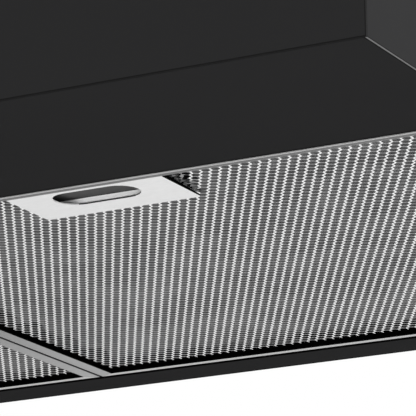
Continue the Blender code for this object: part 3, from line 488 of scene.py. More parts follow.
def mix_finishes():
    """Every finish on the hood, built once."""
    paint = bpy.context.scene.hood_paint
    GROUPS["fine_grain"] = build_fine_grain()
    GROUPS["zinc_spangle"] = build_zinc_spangle()
    GROUPS["handling_film"] = build_handling_film()
    GROUPS["depth_tone"] = build_depth_tone()
    base = tuple(paint.colour)
    finish(
        "black_paint", (tuple(0.94 * part for part in base), tuple(1.06 * part for part in base)),
        (paint.roughness - 0.04, paint.roughness + 0.04), scale=1500.0, relief=0.12, film=0.12,
        film_scale=5.0, specular=0.0,
    )
    finish(
        "shaded_seam", (grey(0.0085), grey(0.0100)), (0.75, 0.8), scale=1500.0, specular=0.0, film=0.1,
    )
    # Lighter paint for the pan's rounded rear rim and the side panels' lower edges: a painted highlight
    # along these edges.
    finish(
        "painted_edge_highlight", (grey(0.085), grey(0.125)), (0.4, 0.55), scale=500.0, specular=0.2,
        film=0.2, film_scale=40.0,
    )
    # The frame's aluminium goes from dark at the front lip to light towards the rear: painted light and
    # shade along the depth.
    finish(
        "frame_aluminium", (grey(0.100), grey(0.130)), (0.34, 0.48), metallic=0.35, scale=700.0,
        stretch=(1.0, 0.12, 1.0), turn=math.radians(58), contrast=1.5, relief=0.15, film=0.2,
        far_painted_light=(grey(0.27), grey(0.345)), depth=(FILTER_LOW.y + 0.01, FILTER_HIGH.y),
    )
    # A lighter copy of the frame's aluminium for the rear lip: painted light.
    finish(
        "lit_rear_lip", (grey(0.44), grey(0.52)), (0.34, 0.46), metallic=0.35, scale=700.0,
        stretch=(0.1, 1.0, 1.0), relief=0.1, film=0.2,
    )
    # A dark copy of the frame's aluminium for the side members' outer walls and every outer wall above
    # its lit strip: painted shade.
    finish(
        "shaded_frame_wall", (grey(0.018), grey(0.028)), (0.5, 0.6), metallic=0.35, scale=700.0,
        stretch=(1.0, 0.1, 1.0), relief=0.1, specular=0.1,
    )
    # A lighter copy of the frame's aluminium for the lower strip of the front wall: painted light.
    finish(
        "lit_front_wall", (grey(0.46), grey(0.54)), (0.34, 0.46), metallic=0.35, scale=700.0,
        stretch=(0.1, 1.0, 1.0), relief=0.1, film=0.2,
    )
    finish(
        "channel_shadow", (grey(0.0020), grey(0.0035)), (0.85, 0.95), scale=300.0, specular=0.0,
    )
    finish(
        "mesh_aluminium", (grey(0.78), grey(0.92)), (0.30, 0.45), metallic=0.25, scale=420.0,
        contrast=1.4, relief=0.1, film=0.10,
    )
    # A darker copy of the mesh metal for the strands of one direction: painted shade.
    finish(
        "shaded_cross_strand", (grey(0.27), grey(0.38, 0.004)), (0.35, 0.5), metallic=0.25, scale=420.0,
        contrast=1.4, relief=0.1, film=0.10,
    )
    # The foil is light only near the filter's front and goes nearly black further back: painted shade
    # along the depth.
    finish(
        "foil_aluminium", (grey(0.48), grey(0.62)), (0.35, 0.6), metallic=0.3, scale=140.0,
        contrast=2.2, relief=0.6, film=0.3, film_scale=30.0,
        far_painted_light=(grey(0.024), grey(0.070, 0.003)),
        depth=(FILTER_LOW.y + 0.003, FILTER_LOW.y + 0.017),
    )
    finish(
        "inner_aluminium", (grey(0.42), grey(0.58)), (0.35, 0.5), metallic=0.7, scale=400.0,
        relief=0.2,
    )
    finish(
        "brushed_plate", (grey(0.635), grey(0.755)), (0.30, 0.42), metallic=0.3, scale=900.0,
        stretch=(0.35, 1.0, 1.0), contrast=1.8, relief=0.15, film=0.10,
    )
    # A dark copy of the plate's metal for the slot's cut walls: painted shade.
    finish(
        "shaded_cut_edge", (grey(0.055), grey(0.085)), (0.4, 0.5), metallic=0.3, scale=900.0,
        relief=0.1, specular=0.1,
    )
    finish(
        "slide_face", (grey(0.84), grey(0.92)), (0.25, 0.35), metallic=0.1, scale=900.0,
        stretch=(0.06, 1.0, 1.0), relief=0.1, film=0.03,
    )
    # A dark copy of the slide's metal for its ceiling: painted shade.
    finish(
        "shaded_slide_ceiling", (grey(0.026), grey(0.044)), (0.45, 0.6), metallic=0.3, scale=900.0,
        stretch=(0.06, 1.0, 1.0), relief=0.1,
    )
    finish(
        "spring_steel", (grey(0.40), grey(0.52, 0.006)), (0.22, 0.34), metallic=1.0, scale=1200.0,
        stretch=(0.08, 1.0, 1.0), relief=0.1,
    )
    finish(
        "galvanised_sheet", (grey(0.34), grey(0.55, 0.012)), (0.30, 0.52), metallic=0.85,
        pattern="zinc_spangle", scale=130.0, relief=0.08, film=0.25,
    )
    finish(
        "satin_bezel", (grey(0.50), grey(0.62)), (0.24, 0.34), metallic=1.0, scale=900.0, relief=0.08,
        film=0.1,
    )
    finish(
        "frosted_lens", (grey(0.74), grey(0.82)), (0.30, 0.42), scale=1100.0, relief=0.4, film=0.05,
        coat=0.3,
    )
    finish(
        "black_plastic", (grey(0.016), grey(0.022)), (0.36, 0.48), scale=1900.0, relief=0.35,
        film=0.15, specular=0.4,
    )
    finish(
        "button_mark", (grey(0.60), grey(0.68)), (0.45, 0.55), scale=1500.0, film=0.05,
    )
    finish(
        "circuit_board", ((0.010, 0.075, 0.030), (0.016, 0.110, 0.046)), (0.35, 0.45), scale=600.0,
        contrast=2.0, relief=0.2,
    )
    finish(
        "motor_steel", (grey(0.10), grey(0.15, 0.004)), (0.36, 0.5), metallic=0.9, scale=700.0,
        stretch=(1.0, 0.1, 0.1), relief=0.15,
    )
    finish(
        "damper_aluminium", (grey(0.50), grey(0.62)), (0.30, 0.42), metallic=0.9, scale=800.0,
        stretch=(0.08, 1.0, 1.0), relief=0.12,
    )
    finish(
        "grey_plastic", (grey(0.22), grey(0.27, 0.004)), (0.45, 0.55), scale=1900.0, relief=0.3,
    )


# ------------------------------------------------------------------ shaping


def cad_shape(node):
    """A clean bmesh of a CAD node: its corners merged and its flat faces joined."""
    shape = bmesh.new()
    shape.from_mesh(frame["nodes"][node].data)
    bmesh.ops.remove_doubles(shape, verts=shape.verts, dist=TINY)
    bmesh.ops.dissolve_limit(
        shape,
        angle_limit=math.radians(0.5),
        use_dissolve_boundaries=False,
        verts=shape.verts,
        edges=shape.edges,
    )
    return shape


def sharp_edges(shape, chosen=None, limit=30.0):
    """Edges that turn by more than limit degrees, and pass the test chosen on their middle."""
    found = []
    for edge in shape.edges:
        if edge.is_manifold and edge.calc_face_angle() > math.radians(limit):
            middle = (edge.verts[0].co + edge.verts[1].co) / 2
            if chosen is None or chosen(middle):
                found.append(edge)
    return found


def round_edges(shape, edges, width, segments=2):
    """The new faces along these edges."""
    made = bmesh.ops.bevel(
        shape,
        geom=edges,
        offset=width,
        offset_type="OFFSET",
        segments=segments,
        profile=0.5,
        affect="EDGES",
        clamp_overlap=True,
        material=-1,
    )
    return made["faces"]


def edges_at(verts):
    return list(dict.fromkeys(edge for vert in verts for edge in vert.link_edges))


def faces_at(verts):
    return list(dict.fromkeys(face for vert in verts for face in vert.link_faces))


def corners_of(faces):
    return list(dict.fromkeys(vert for face in faces for vert in face.verts))


def paint_faces(faces, index):
    for face in faces:
        face.material_index = index


def fit_piece(name, shape, finishes, body, replaced=(), smooth_limit=32.0):
    """An object at the origin, which rides on a body and stands for the CAD nodes it replaces."""
    mesh = bpy.data.meshes.new(name)
    shape.to_mesh(mesh)
    shape.free()
    piece = bpy.data.objects.new(name, mesh)
    bpy.context.scene.collection.objects.link(piece)
    for finish_name in finishes:
        mesh.materials.append(FINISHES[finish_name])
    mesh.shade_smooth()
    mesh.set_sharp_from_angle(angle=math.radians(smooth_limit))
    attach(piece, body)
    if replaced:
        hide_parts(*replaced)
    return piece


def fit_cad_shape(node, name, finish_name, width=0.0003, segments=2):
    """A CAD node's own shape with its sharp edges rounded."""
    shape = cad_shape(node)
    if width:
        round_edges(shape, sharp_edges(shape), width, segments)
    return fit_piece(name, shape, [finish_name], BODY_OF[node], [node])


def fit_panel(node, name, shape, *finishes):
    """A painted panel of the housing. Its other finishes follow the paint."""
    fit_piece(name, shape, ["black_paint", *finishes], "housing", [node])


def fit_filter_part(side, node, name, shape, *finishes):
    """A piece of one grease filter, made of aluminium."""
    fit_piece(
        f"{side}_{name}",
        shape,
        finishes,
        f"{side}_filter",
        [f"{side}_{node}"],
    )


def near(value, target, reach=0.00005):
    return abs(value - target) < reach


def add_block(shape, low, high, bevel_width=0.0, segments=2):
    """A block between two corners, with its edges rounded."""
    low, high = Vector(low), Vector(high)
    made = bmesh.ops.create_cube(
        shape,
        size=1.0,
        matrix=Matrix.Translation((low + high) / 2) @ Matrix.Diagonal((*(high - low), 1.0)),
    )
    if bevel_width:
        edges = edges_at(made["verts"])
        round_edges(shape, edges, bevel_width, segments)
    return made["verts"]


def turn_outline(shape, points, steps, closed=False):
    """Turns an outline of (distance out, height) about Z."""
    verts = [shape.verts.new((across, 0.0, rise)) for across, rise in points]
    ends = verts[1:] + verts[:1] if closed else verts[1:]
    edges = [shape.edges.new(pair) for pair in zip(verts, ends)]
    bmesh.ops.spin(
        shape,
        geom=[*verts, *edges],
        cent=(0, 0, 0),
        axis=(0, 0, 1),
        angle=math.tau,
        steps=steps,
        use_merge=True,
    )


def cut_lines(shape, axis, places):
    """Cuts every face along planes across one axis, so that parts of a panel can be pressed in."""
    for place in places:
        spot = Vector((0, 0, 0))
        spot[axis] = place
        normal = Vector((0, 0, 0))
        normal[axis] = 1.0
        bmesh.ops.bisect_plane(
            shape,
            geom=[*shape.verts, *shape.edges, *shape.faces],
            dist=TINY,
            plane_co=spot,
            plane_no=normal,
        )


def press_rim(shape, faces, width, move):
    """Presses a narrow rim round a group of faces, as a stamped outline."""
    bmesh.ops.inset_region(
        shape, faces=faces, thickness=width, depth=0.0, use_boundary=True, use_even_offset=True
    )
    bmesh.ops.translate(shape, verts=corners_of(faces), vec=move)


# ------------------------------------------------------------------ housing


class HOOD_OT_panels(bpy.types.Operator):
    """Paint the housing's panels and round their folded edges"""

    bl_idname = "hood.panels"
    bl_label = "Housing panels"

    def execute(self, context):
        corner = context.scene.hood_paint.corner
        self.front_panel(corner)
        self.side_panels(corner)
        self.bottom_pan()
        self.top_panel()
        self.back_panel()
        return {"FINISHED"}

    def front_panel(self, corner):
        shape = cad_shape("front_panel")
        outer = sharp_edges(
            shape,
            lambda spot: near(spot.y, FRONT_LOW.y)
            and (near(abs(spot.x), HALF_WIDTH) or near(spot.z, UNDERSIDE) or near(spot.z, 0)),
        )
        paint_faces(round_edges(shape, outer, corner, 3), 1)
        fit_panel("front_panel", "painted_front_panel", shape, "shaded_seam")

    def side_panels(self, corner):
        for side, sign in (("left", -1), ("right", 1)):
            shape = cad_shape(f"{side}_side_panel")
            outer = sharp_edges(
                shape,
                lambda spot: near(spot.x, sign * HALF_WIDTH)
                and (near(spot.z, UNDERSIDE) or near(spot.z, 0) or near(spot.y, BACK_HIGH.y)),
            )
            paint_faces(round_edges(shape, outer, SIDE_CORNER * corner, 3), 1)
            # The side panel's downward faces take the lighter edge paint: a painted highlight.
            paint_faces([face for face in shape.faces if face.normal.z < -0.9], 2)
            fit_panel(
                f"{side}_side_panel",
                f"painted_{side}_panel",
                shape,
                "shaded_seam",
                "painted_edge_highlight",
            )

    def bottom_pan(self):
        shape = cad_shape("bottom_pan")
        rim = [edge for edge in sharp_edges(shape) if self.along_rear_rim(edge)]
        rim_y = rim[0].verts[0].co.y
        # The rounded front edge of the rear rim takes the lighter edge paint: a painted highlight.
        paint_faces(round_edges(shape, rim, RIM_ROUNDING, 4), 1)
        walls = [
            face
            for face in shape.faces
            if face.normal.y < -0.99 and near(face.calc_center_median().y, rim_y, TINY)
        ]
        paint_faces(walls, 2)
        sides = sharp_edges(
            shape,
            lambda spot: near(spot.z, UNDERSIDE)
            and (near(abs(spot.x), PAN_HIGH.x) or near(spot.y, PAN_LOW.y) or near(spot.y, PAN_HIGH.y)),
        )
        paint_faces(round_edges(shape, sides, PAN_ROUNDING, 2), 3)
        fit_panel(
            "bottom_pan",
            "painted_bottom_pan",
            shape,
            "painted_edge_highlight",
            "channel_shadow",
            "shaded_seam",
        )

    @staticmethod
    def along_rear_rim(edge):
        first, second = (vert.co for vert in edge.verts)
        level = near(first.z, UNDERSIDE) and near(second.z, UNDERSIDE)
        across = near(first.y, second.y) and abs(first.x - second.x) > HALF_WIDTH
        return level and across and FILTER_HIGH.y < first.y < PAN_HIGH.y - RIM_LAP

    def top_panel(self):
        fit_panel("top_panel", "painted_top_panel", cad_shape("top_panel"))

    def back_panel(self):
        shape = cad_shape("back_panel")
        cut_lines(shape, 0, (-STAMP_HALF, STAMP_HALF))
        cut_lines(shape, 2, (STAMP_LOW, STAMP_HIGH))
        inside = [
            face
            for face in shape.faces
            if near(face.calc_center_median().y, BACK_HIGH.y)
            and abs(face.calc_center_median().x) < STAMP_HALF
            and STAMP_LOW < face.calc_center_median().z < STAMP_HIGH
        ]
        press_rim(shape, inside, STAMP_RIM, (0, -STAMP_DEPTH, 0))
        paint_faces([face for face in shape.faces if face.normal.z < -0.9], 1)
        fit_panel("back_panel", "painted_back_panel", shape, "shaded_seam")


# ------------------------------------------------------------------ grease filters


def filter_member(shape, length, lip, ends, finishes, place):
    """One side of a filter frame: a channel with its two ends mitred, along its own X.

    Its own Y goes from the outer wall inwards. ends says how far each end moves in over the lip's width,
    and finishes are the material numbers of the lip and of the outer wall.
    """
    sheet = FRAME_SHEET
    height = FILTER_HIGH.z - FILTER_LOW.z
    outline = [
        (lip, 0),
        (0, 0),
        (0, LIT_WALL),
        (0, height),
        (lip, height),
        (lip, height - sheet),
        (sheet, height - sheet),
        (sheet, sheet),
        (lip, sheet),
    ]
    corners = [shape.verts.new((0, depth, rise)) for depth, rise in outline]
    end = shape.faces.new(corners)
    made = bmesh.ops.extrude_face_region(shape, geom=[end])
    far = [item for item in made["geom"] if isinstance(item, bmesh.types.BMVert)]
    bmesh.ops.translate(shape, verts=far, vec=(length, 0, 0))
    for verts, sign, reach in ((corners, 1, ends[0]), (far, -1, ends[1])):
        shear = Matrix.Identity(4)
        shear[0][1] = sign * reach / lip
        shear[0][3] = MITRE_GAP * sign
        bmesh.ops.transform(shape, verts=verts, matrix=shear)
    verts = [*corners, *far]
    faces = faces_at(verts)
    bmesh.ops.recalc_face_normals(shape, faces=faces)
    bends = [
        edge
        for edge in edges_at(verts)
        if all(near(vert.co.y, 0) for vert in edge.verts)
        and near(edge.verts[0].co.z, edge.verts[1].co.z)
        and not near(edge.verts[0].co.z, LIT_WALL)
    ]
    before = set(shape.faces) - set(faces)
    round_edges(shape, bends, FRAME_BEND, 2)
    mine = [face for face in shape.faces if face not in before]
    for face in mine:
        middle = face.calc_center_median()
        inside = middle.y > 0.9 * sheet and 0.9 * sheet < middle.z < height - 0.9 * sheet
        lip_end = near(middle.y, lip) and middle.z < sheet
        # Inside faces and the lips' cut ends take the near-black finish as painted shadow; the outer
        # wall's lower strip takes the given wall finish and the rest of it a dark copy of the aluminium
        # as painted shade.
        if inside or lip_end:
            face.material_index = 2
        elif middle.y < WALL_REACH and face.normal.y < -0.3:
            face.material_index = finishes[1] if middle.z < LIT_WALL else 3
        else:
            face.material_index = finishes[0]
    bmesh.ops.transform(shape, verts=corners_of(mine), matrix=place)


class HOOD_OT_filter_frames(bpy.types.Operator):
    """Build the mitred channel frames of the grease filters"""

    bl_idname = "hood.filter_frames"
    bl_label = "Filter frames"

    def execute(self, context):
        settings = context.scene.hood_filter
        front, rear, beside = settings.front_lip, settings.rear_lip, settings.side_lip
        for side in SIDES:
            low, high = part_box(f"{side}_filter_frame")
            width, depth = high.x - low.x, high.y - low.y
            shape = bmesh.new()
            at_base = Matrix.Translation((0, 0, low.z))
            quarter = Matrix.Rotation(math.radians(90), 4, "Z")
            front_left = Matrix.Translation((low.x, low.y, 0))
            front_right = Matrix.Translation((high.x, low.y, 0)) @ quarter
            rear_right = Matrix.Translation((high.x, high.y, 0)) @ quarter @ quarter
            rear_left = Matrix.Translation((low.x, high.y, 0)) @ quarter.inverted()
            members = (
                (width, front, (beside, beside), (0, 1), front_left),
                (depth, beside, (front, rear), (0, 3), front_right),
                (width, rear, (beside, beside), (4, 0), rear_right),
                (depth, beside, (rear, front), (0, 3), rear_left),
            )
            for length, lip, ends, finishes, place in members:
                filter_member(shape, length, lip, ends, finishes, at_base @ place)
            fit_filter_part(
                side,
                "filter_frame",
                "mitred_frame",
                shape,
                "frame_aluminium",
                "lit_front_wall",
                "channel_shadow",
                "shaded_frame_wall",
                "lit_rear_lip",
            )
            fit_cad_shape(f"{side}_rear_hook", f"{side}_hook_tab", "inner_aluminium", 0.0003)
        return {"FINISHED"}


def honeycomb(low, high, middle, pitch, strand, start, crown):
    """A honeycomb sheet between two corners of (x, y), its strands thickest along their middle.

    start is the centre of one hole, and crown how far the strands' middle stands below and above the
    plane at height middle.
    """
    sheet = bmesh.new()
    row = pitch * HONEYCOMB_ROW
    back_x = math.ceil((start[0] - low[0]) / pitch) + 1
    back_y = 2 * math.ceil((start[1] - low[1]) / row / 2 + 0.5)
    corner = Matrix.Translation((start[0] - back_x * pitch, start[1] - back_y * row, middle))
    columns = math.ceil((high[0] - low[0]) / pitch) + 3
    pairs = math.ceil((high[1] - low[1]) / row / 2) + 2
    for matrix in (corner, Matrix.Translation((pitch / 2, row, 0)) @ corner):
        bmesh.ops.create_circle(
            sheet, cap_ends=True, segments=6, radius=pitch / math.sqrt(3), matrix=matrix
        )
    for step, count in (((pitch, 0, 0), columns), ((0, 2 * row, 0), pairs)):
        bmesh.ops.spin(
            sheet,
            geom=[*sheet.verts, *sheet.edges, *sheet.faces],
            cent=(0, 0, 0),
            axis=(0, 0, 1),
            dvec=step,
            angle=0.0,
            steps=count,
            use_duplicate=True,
        )
    bmesh.ops.remove_doubles(sheet, verts=sheet.verts, dist=pitch / 50)
    ridge = list(sheet.verts)
    cells = list(sheet.faces)
    bmesh.ops.inset_individual(
        sheet, faces=cells, thickness=strand / 2, depth=0.0, use_even_offset=True
    )
    bmesh.ops.delete(sheet, geom=cells, context="FACES_ONLY")
    bmesh.ops.translate(sheet, verts=ridge, vec=(0, 0, -crown[0]))
    for spot, normal in (
        ((low[0], 0, 0), (-1, 0, 0)),
        ((high[0], 0, 0), (1, 0, 0)),
        ((0, low[1], 0), (0, -1, 0)),
        ((0, high[1], 0), (0, 1, 0)),
    ):
        bmesh.ops.bisect_plane(
            sheet,
            geom=[*sheet.verts, *sheet.edges, *sheet.faces],
            dist=TINY,
            plane_co=spot,
            plane_no=normal,
            clear_outer=True,
        )
    return sheet


def close_strands(sheet, middle, crown):
    """Gives an open honeycomb its upper half and closes the cut ends of its strands."""
    faces = list(sheet.faces)
    upper = bmesh.ops.duplicate(sheet, geom=[*sheet.verts, *sheet.edges, *sheet.faces])["geom"]
    flip = (
        Matrix.Translation((0, 0, middle))
        @ Matrix.Diagonal((1, 1, -crown[1] / crown[0], 1))
        @ Matrix.Translation((0, 0, -middle))
    )
    bmesh.ops.transform(
        sheet, verts=[item for item in upper if isinstance(item, bmesh.types.BMVert)], matrix=flip
    )
    bmesh.ops.reverse_faces(sheet, faces=faces)
    bmesh.ops.remove_doubles(sheet, verts=sheet.verts, dist=TINY * 5)
    loose = [edge for edge in sheet.edges if edge.is_boundary]
    bmesh.ops.holes_fill(sheet, edges=loose, sides=8)
    wires = [edge for edge in sheet.edges if edge.is_wire]
    bmesh.ops.delete(sheet, geom=wires, context="EDGES")


def finish_strands(sheet, shaded):
    """Strands that run towards +X and +Y get a darker copy of the metal as painted shade, and those the
    test picks get near-black painted shadow.
    """
    for face in sheet.faces:
        longest = max(face.edges, key=lambda edge: edge.calc_length())
        run = (longest.verts[1].co - longest.verts[0].co).normalized()
        face.material_index = 1 if run.x * run.y > 0.2 else 0
        if shaded(face.calc_center_median()):
            face.material_index = 2


def crush_strands(sheet, chosen):
    """Bends the strands at the places the test picks, as if pressed with a thumb, and paints them dark
    with painted shade and painted shadow.
    """
    for vert in sheet.verts:
        if chosen(vert.co):
            x, y = 9000 * vert.co.x, 9000 * vert.co.y
            vert.co += DENT_BEND * Vector((math.sin(x + 2 * y), math.sin(2.3 * x - y + 1), 0))
            vert.co.z += DENT_RISE * (1 + math.sin(1.7 * x + y))
    for face in sheet.faces:
        middle = face.calc_center_median()
        if chosen(middle):
            face.material_index = 1 if math.sin(2100 * middle.x + 3700 * middle.y) > 0.1 else 2


def remove_cells(sheet, chosen):
    """Removes the strands whose middle passes the test."""
    gone = [face for face in sheet.faces if chosen(face.calc_center_median())]
    bmesh.ops.delete(sheet, geom=gone, context="FACES")


def beside_plate(side):
    """A test for places in the dented triangle beside a latch plate, widest at the front."""
    low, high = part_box(f"{side}_latch_plate")

    def inside(spot):
        left = (high.y - spot.y) / (high.y - low.y)
        return 0 < left < 1.2 and -DENT_UNDER_PLATE < spot.x - high.x < DENT_WIDTH * min(left, 1)

    return inside


class HOOD_OT_filter_mesh(bpy.types.Operator):
    """Build the honeycomb mesh on both faces of the grease filters"""

    bl_idname = "hood.filter_mesh"
    bl_label = "Filter mesh"

    def execute(self, context):
        settings = context.scene.hood_filter
        pitch = settings.pitch
        phase = (HALF_WIDTH + PHASE[0] * pitch, FRONT_LOW.y + PHASE[1] * HONEYCOMB_ROW * pitch)
        for side in SIDES:
            low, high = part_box(f"{side}_outer_mesh")
            frame_low, frame_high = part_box(f"{side}_filter_frame")
            plate_low, plate_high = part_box(f"{side}_latch_plate")
            edge_low = (
                frame_low.x + settings.side_lip - MESH_MARGIN,
                frame_low.y + settings.front_lip - MESH_UNDER_FRONT,
            )
            edge_high = (
                frame_high.x - settings.side_lip + MESH_MARGIN,
                frame_high.y - settings.rear_lip + MESH_MARGIN,
            )
            crown = MESH_CROWN
            middle = low.z + crown[0]
            sheet = honeycomb(edge_low, edge_high, middle, pitch, settings.strand, phase, crown)
            inner = (plate_low.x + PLATE_LAP, plate_high.x - PLATE_LAP, plate_high.y - PLATE_LAP)
            remove_cells(sheet, lambda spot: inner[0] < spot.x < inner[1] and spot.y < inner[2])
            close_strands(sheet, middle, crown)
            shade = (
                edge_low[0] + SIDE_SHADE,
                edge_high[0] - SIDE_SHADE,
                edge_high[1] - REAR_SHADE,
            )
            finish_strands(
                sheet, lambda spot: not shade[0] < spot.x < shade[1] or spot.y > shade[2]
            )
            crush_strands(sheet, beside_plate(side))
            fit_filter_part(
                side,
                "outer_mesh",
                "honeycomb",
                sheet,
                "mesh_aluminium",
                "shaded_cross_strand",
                "channel_shadow",
            )
            low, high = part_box(f"{side}_inner_mesh")
            crown = INNER_CROWN
            middle = (low.z + high.z) / 2
            sheet = honeycomb(low.xy, high.xy, middle, 2 * pitch, INNER_STRAND, phase, crown)
            close_strands(sheet, middle, crown)
            fit_filter_part(side, "inner_mesh", "inner_honeycomb", sheet, "inner_aluminium")
        return {"FINISHED"}


class HOOD_OT_foil_packs(bpy.types.Operator):
    """Build the folded foil packs inside the grease filters"""

    bl_idname = "hood.foil_packs"
    bl_label = "Foil packs"

    def execute(self, context):
        settings = context.scene.hood_filter
        for side in SIDES:
            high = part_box(f"{side}_grease_pack")[1]
            frame_low, frame_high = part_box(f"{side}_filter_frame")
            left = frame_low.x + settings.side_lip
            right = frame_high.x - settings.side_lip
            front = frame_low.y + settings.front_lip
            back = frame_high.y - settings.rear_lip
            level = high.z - FOIL_BELOW_TOP - settings.foil_wave
            shape = bmesh.new()
            centre = Matrix.Translation(((left + right) / 2, (front + back) / 2, level))
            size = Matrix.Diagonal(((right - left) / 2, (back - front) / 2, 1, 1))
            bmesh.ops.create_grid(
                shape, x_segments=110, y_segments=100, size=1.0, matrix=centre @ size
            )
            for vert in shape.verts:
                x, y = vert.co.x, vert.co.y
                fold = math.sin(900 * (x + 0.62 * y)) + 0.5 * math.sin(410 * (x - 0.9 * y) + 1.3)
                vert.co.z += settings.foil_wave * 0.6 * fold
            bmesh.ops.solidify(shape, geom=shape.faces[:], thickness=FOIL_SHEET)
            bmesh.ops.recalc_face_normals(shape, faces=shape.faces)
            dented = beside_plate(side)
            for face in shape.faces:
                x, y = face.calc_center_median().xy
                ragged = FOIL_RAGGED[0] * math.sin(310 * x + 190 * y)
                ragged += FOIL_RAGGED[1] * math.sin(1100 * x - 730 * y)
                reach = min(x - left, right - x, 1.2 * (back - y))
                shaded = reach < FOIL_SHADE + ragged or dented(Vector((x, y)))
                face.material_index = 1 if shaded else 0
            fit_filter_part(
                side, "grease_pack", "foil_pack", shape, "foil_aluminium", "channel_shadow"
            )
        return {"FINISHED"}


# ------------------------------------------------------------------ latches


class HOOD_OT_latches(bpy.types.Operator):
    """Build the brushed latch plates, their slides and springs"""

    bl_idname = "hood.latches"
    bl_label = "Filter latches"

    def execute(self, context):
        for side in SIDES:
            shape = cad_shape(f"{side}_latch_plate")
            low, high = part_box(f"{side}_latch_plate")
            self.dress_plate(shape, low, high)
            fit_piece(
                f"{side}_brushed_plate",
                shape,
                ["brushed_plate", "shaded_cut_edge", "channel_shadow"],
                f"{side}_filter",
                [f"{side}_latch_plate"],
            )
            shape = cad_shape(f"{side}_latch_slide")
            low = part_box(f"{side}_latch_slide")[0]
            # Downward faces above the recess get a dark copy of the slide's metal: painted shade.
            for face in shape.faces:
                ceiling = face.normal.z < -0.5 and face.calc_center_median().z > low.z + SLIDE_RECESS
                face.material_index = 1 if ceiling else 0
            round_edges(shape, sharp_edges(shape), SLIDE_EDGE, 1)
            fit_piece(
                f"{side}_slide",
                shape,
                ["slide_face", "shaded_slide_ceiling"],
                f"{side}_latch",
                [f"{side}_latch_slide"],
            )
            self.coil(side)
        return {"FINISHED"}

    @staticmethod
    def coil(side):
        """The spring, with a mesh of its own. The real spring gets shorter by the slide's travel when the
        slide is pushed back.
        """
        node = f"{side}_latch_spring"
        spring = fit_cad_shape(node, f"{side}_coil", "spring_steel", width=0)
        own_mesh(spring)

    @staticmethod
    def dress_plate(shape, low, high):
        """Rounds the rear corners, lowers the walls towards the rear and paints the cut edges: painted
        shadow on the outer walls, painted shade on the slot's walls except those that face +X.
        """
        upright = sharp_edges(shape, lambda spot: near(spot.y, high.y) and low.z < spot.z < high.z)
        upright = [edge for edge in upright if near(edge.verts[0].co.x, edge.verts[1].co.x)]
        round_edges(shape, upright, PLATE_CORNER, 3)
        for vert in shape.verts:
            if near(vert.co.z, high.z):
                along = (vert.co.y - low.y) / (high.y - low.y)
                vert.co.z -= along * (high.z - low.z - LOWEST_WALL)
        for face in shape.faces:
            middle = face.calc_center_median()
            outer = min(middle.x - low.x, high.x - middle.x, high.y - middle.y) < WALL_REACH
            if abs(face.normal.z) < 0.3:
                face.material_index = 2 if outer else 1 if face.normal.x < 0.3 else 0
        round_edges(shape, sharp_edges(shape, lambda spot: near(spot.z, low.z)), PLATE_EDGE, 1)


# ------------------------------------------------------------------ lamps


class HOOD_OT_lamps(bpy.types.Operator):
    """Build the two round lamps in the underside"""

    bl_idname = "hood.lamps"
    bl_label = "Lamps"

    def execute(self, context):
        for side in SIDES:
            fit_cad_shape(f"{side}_lamp_bezel", f"{side}_bezel_ring", "satin_bezel", 0.0002)
            self.lens(side)
            fit_cad_shape(f"{side}_lamp_housing", f"{side}_lamp_can", "galvanised_sheet", 0.0004)
        return {"FINISHED"}

    def lens(self, side):
        """A lens with fine rings pressed into its lower face."""
        low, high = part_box(f"{side}_lamp_lens")
        centre = (low + high) / 2
        radius = (high.x - low.x) / 2
        shape = bmesh.new()
        inward, upward = LENS_CHAMFER
        points = [
            (0.0, high.z),
            (radius, high.z),
            (radius, low.z + upward),
            (radius - inward, low.z),
        ]
        for ring in range(LENS_RINGS, 0, -1):
            reach = (radius - LENS_RIM) * ring / LENS_RINGS
            points.append((reach, low.z + RING_RISE))
            points.append((reach * (1 - 0.5 / ring), low.z))
        points.append((0.0, low.z + RING_RISE))
        turn_outline(shape, points, 48)
        bmesh.ops.remove_doubles(shape, verts=shape.verts, dist=TINY)
        bmesh.ops.recalc_face_normals(shape, faces=shape.faces)
        bmesh.ops.translate(shape, verts=shape.verts, vec=(centre.x, centre.y, 0))
        fit_piece(
            f"{side}_ringed_lens",
            shape,
            ["frosted_lens"],
            "housing",
            [f"{side}_lamp_lens"],
            smooth_limit=25,
        )


# ------------------------------------------------------------------ controls


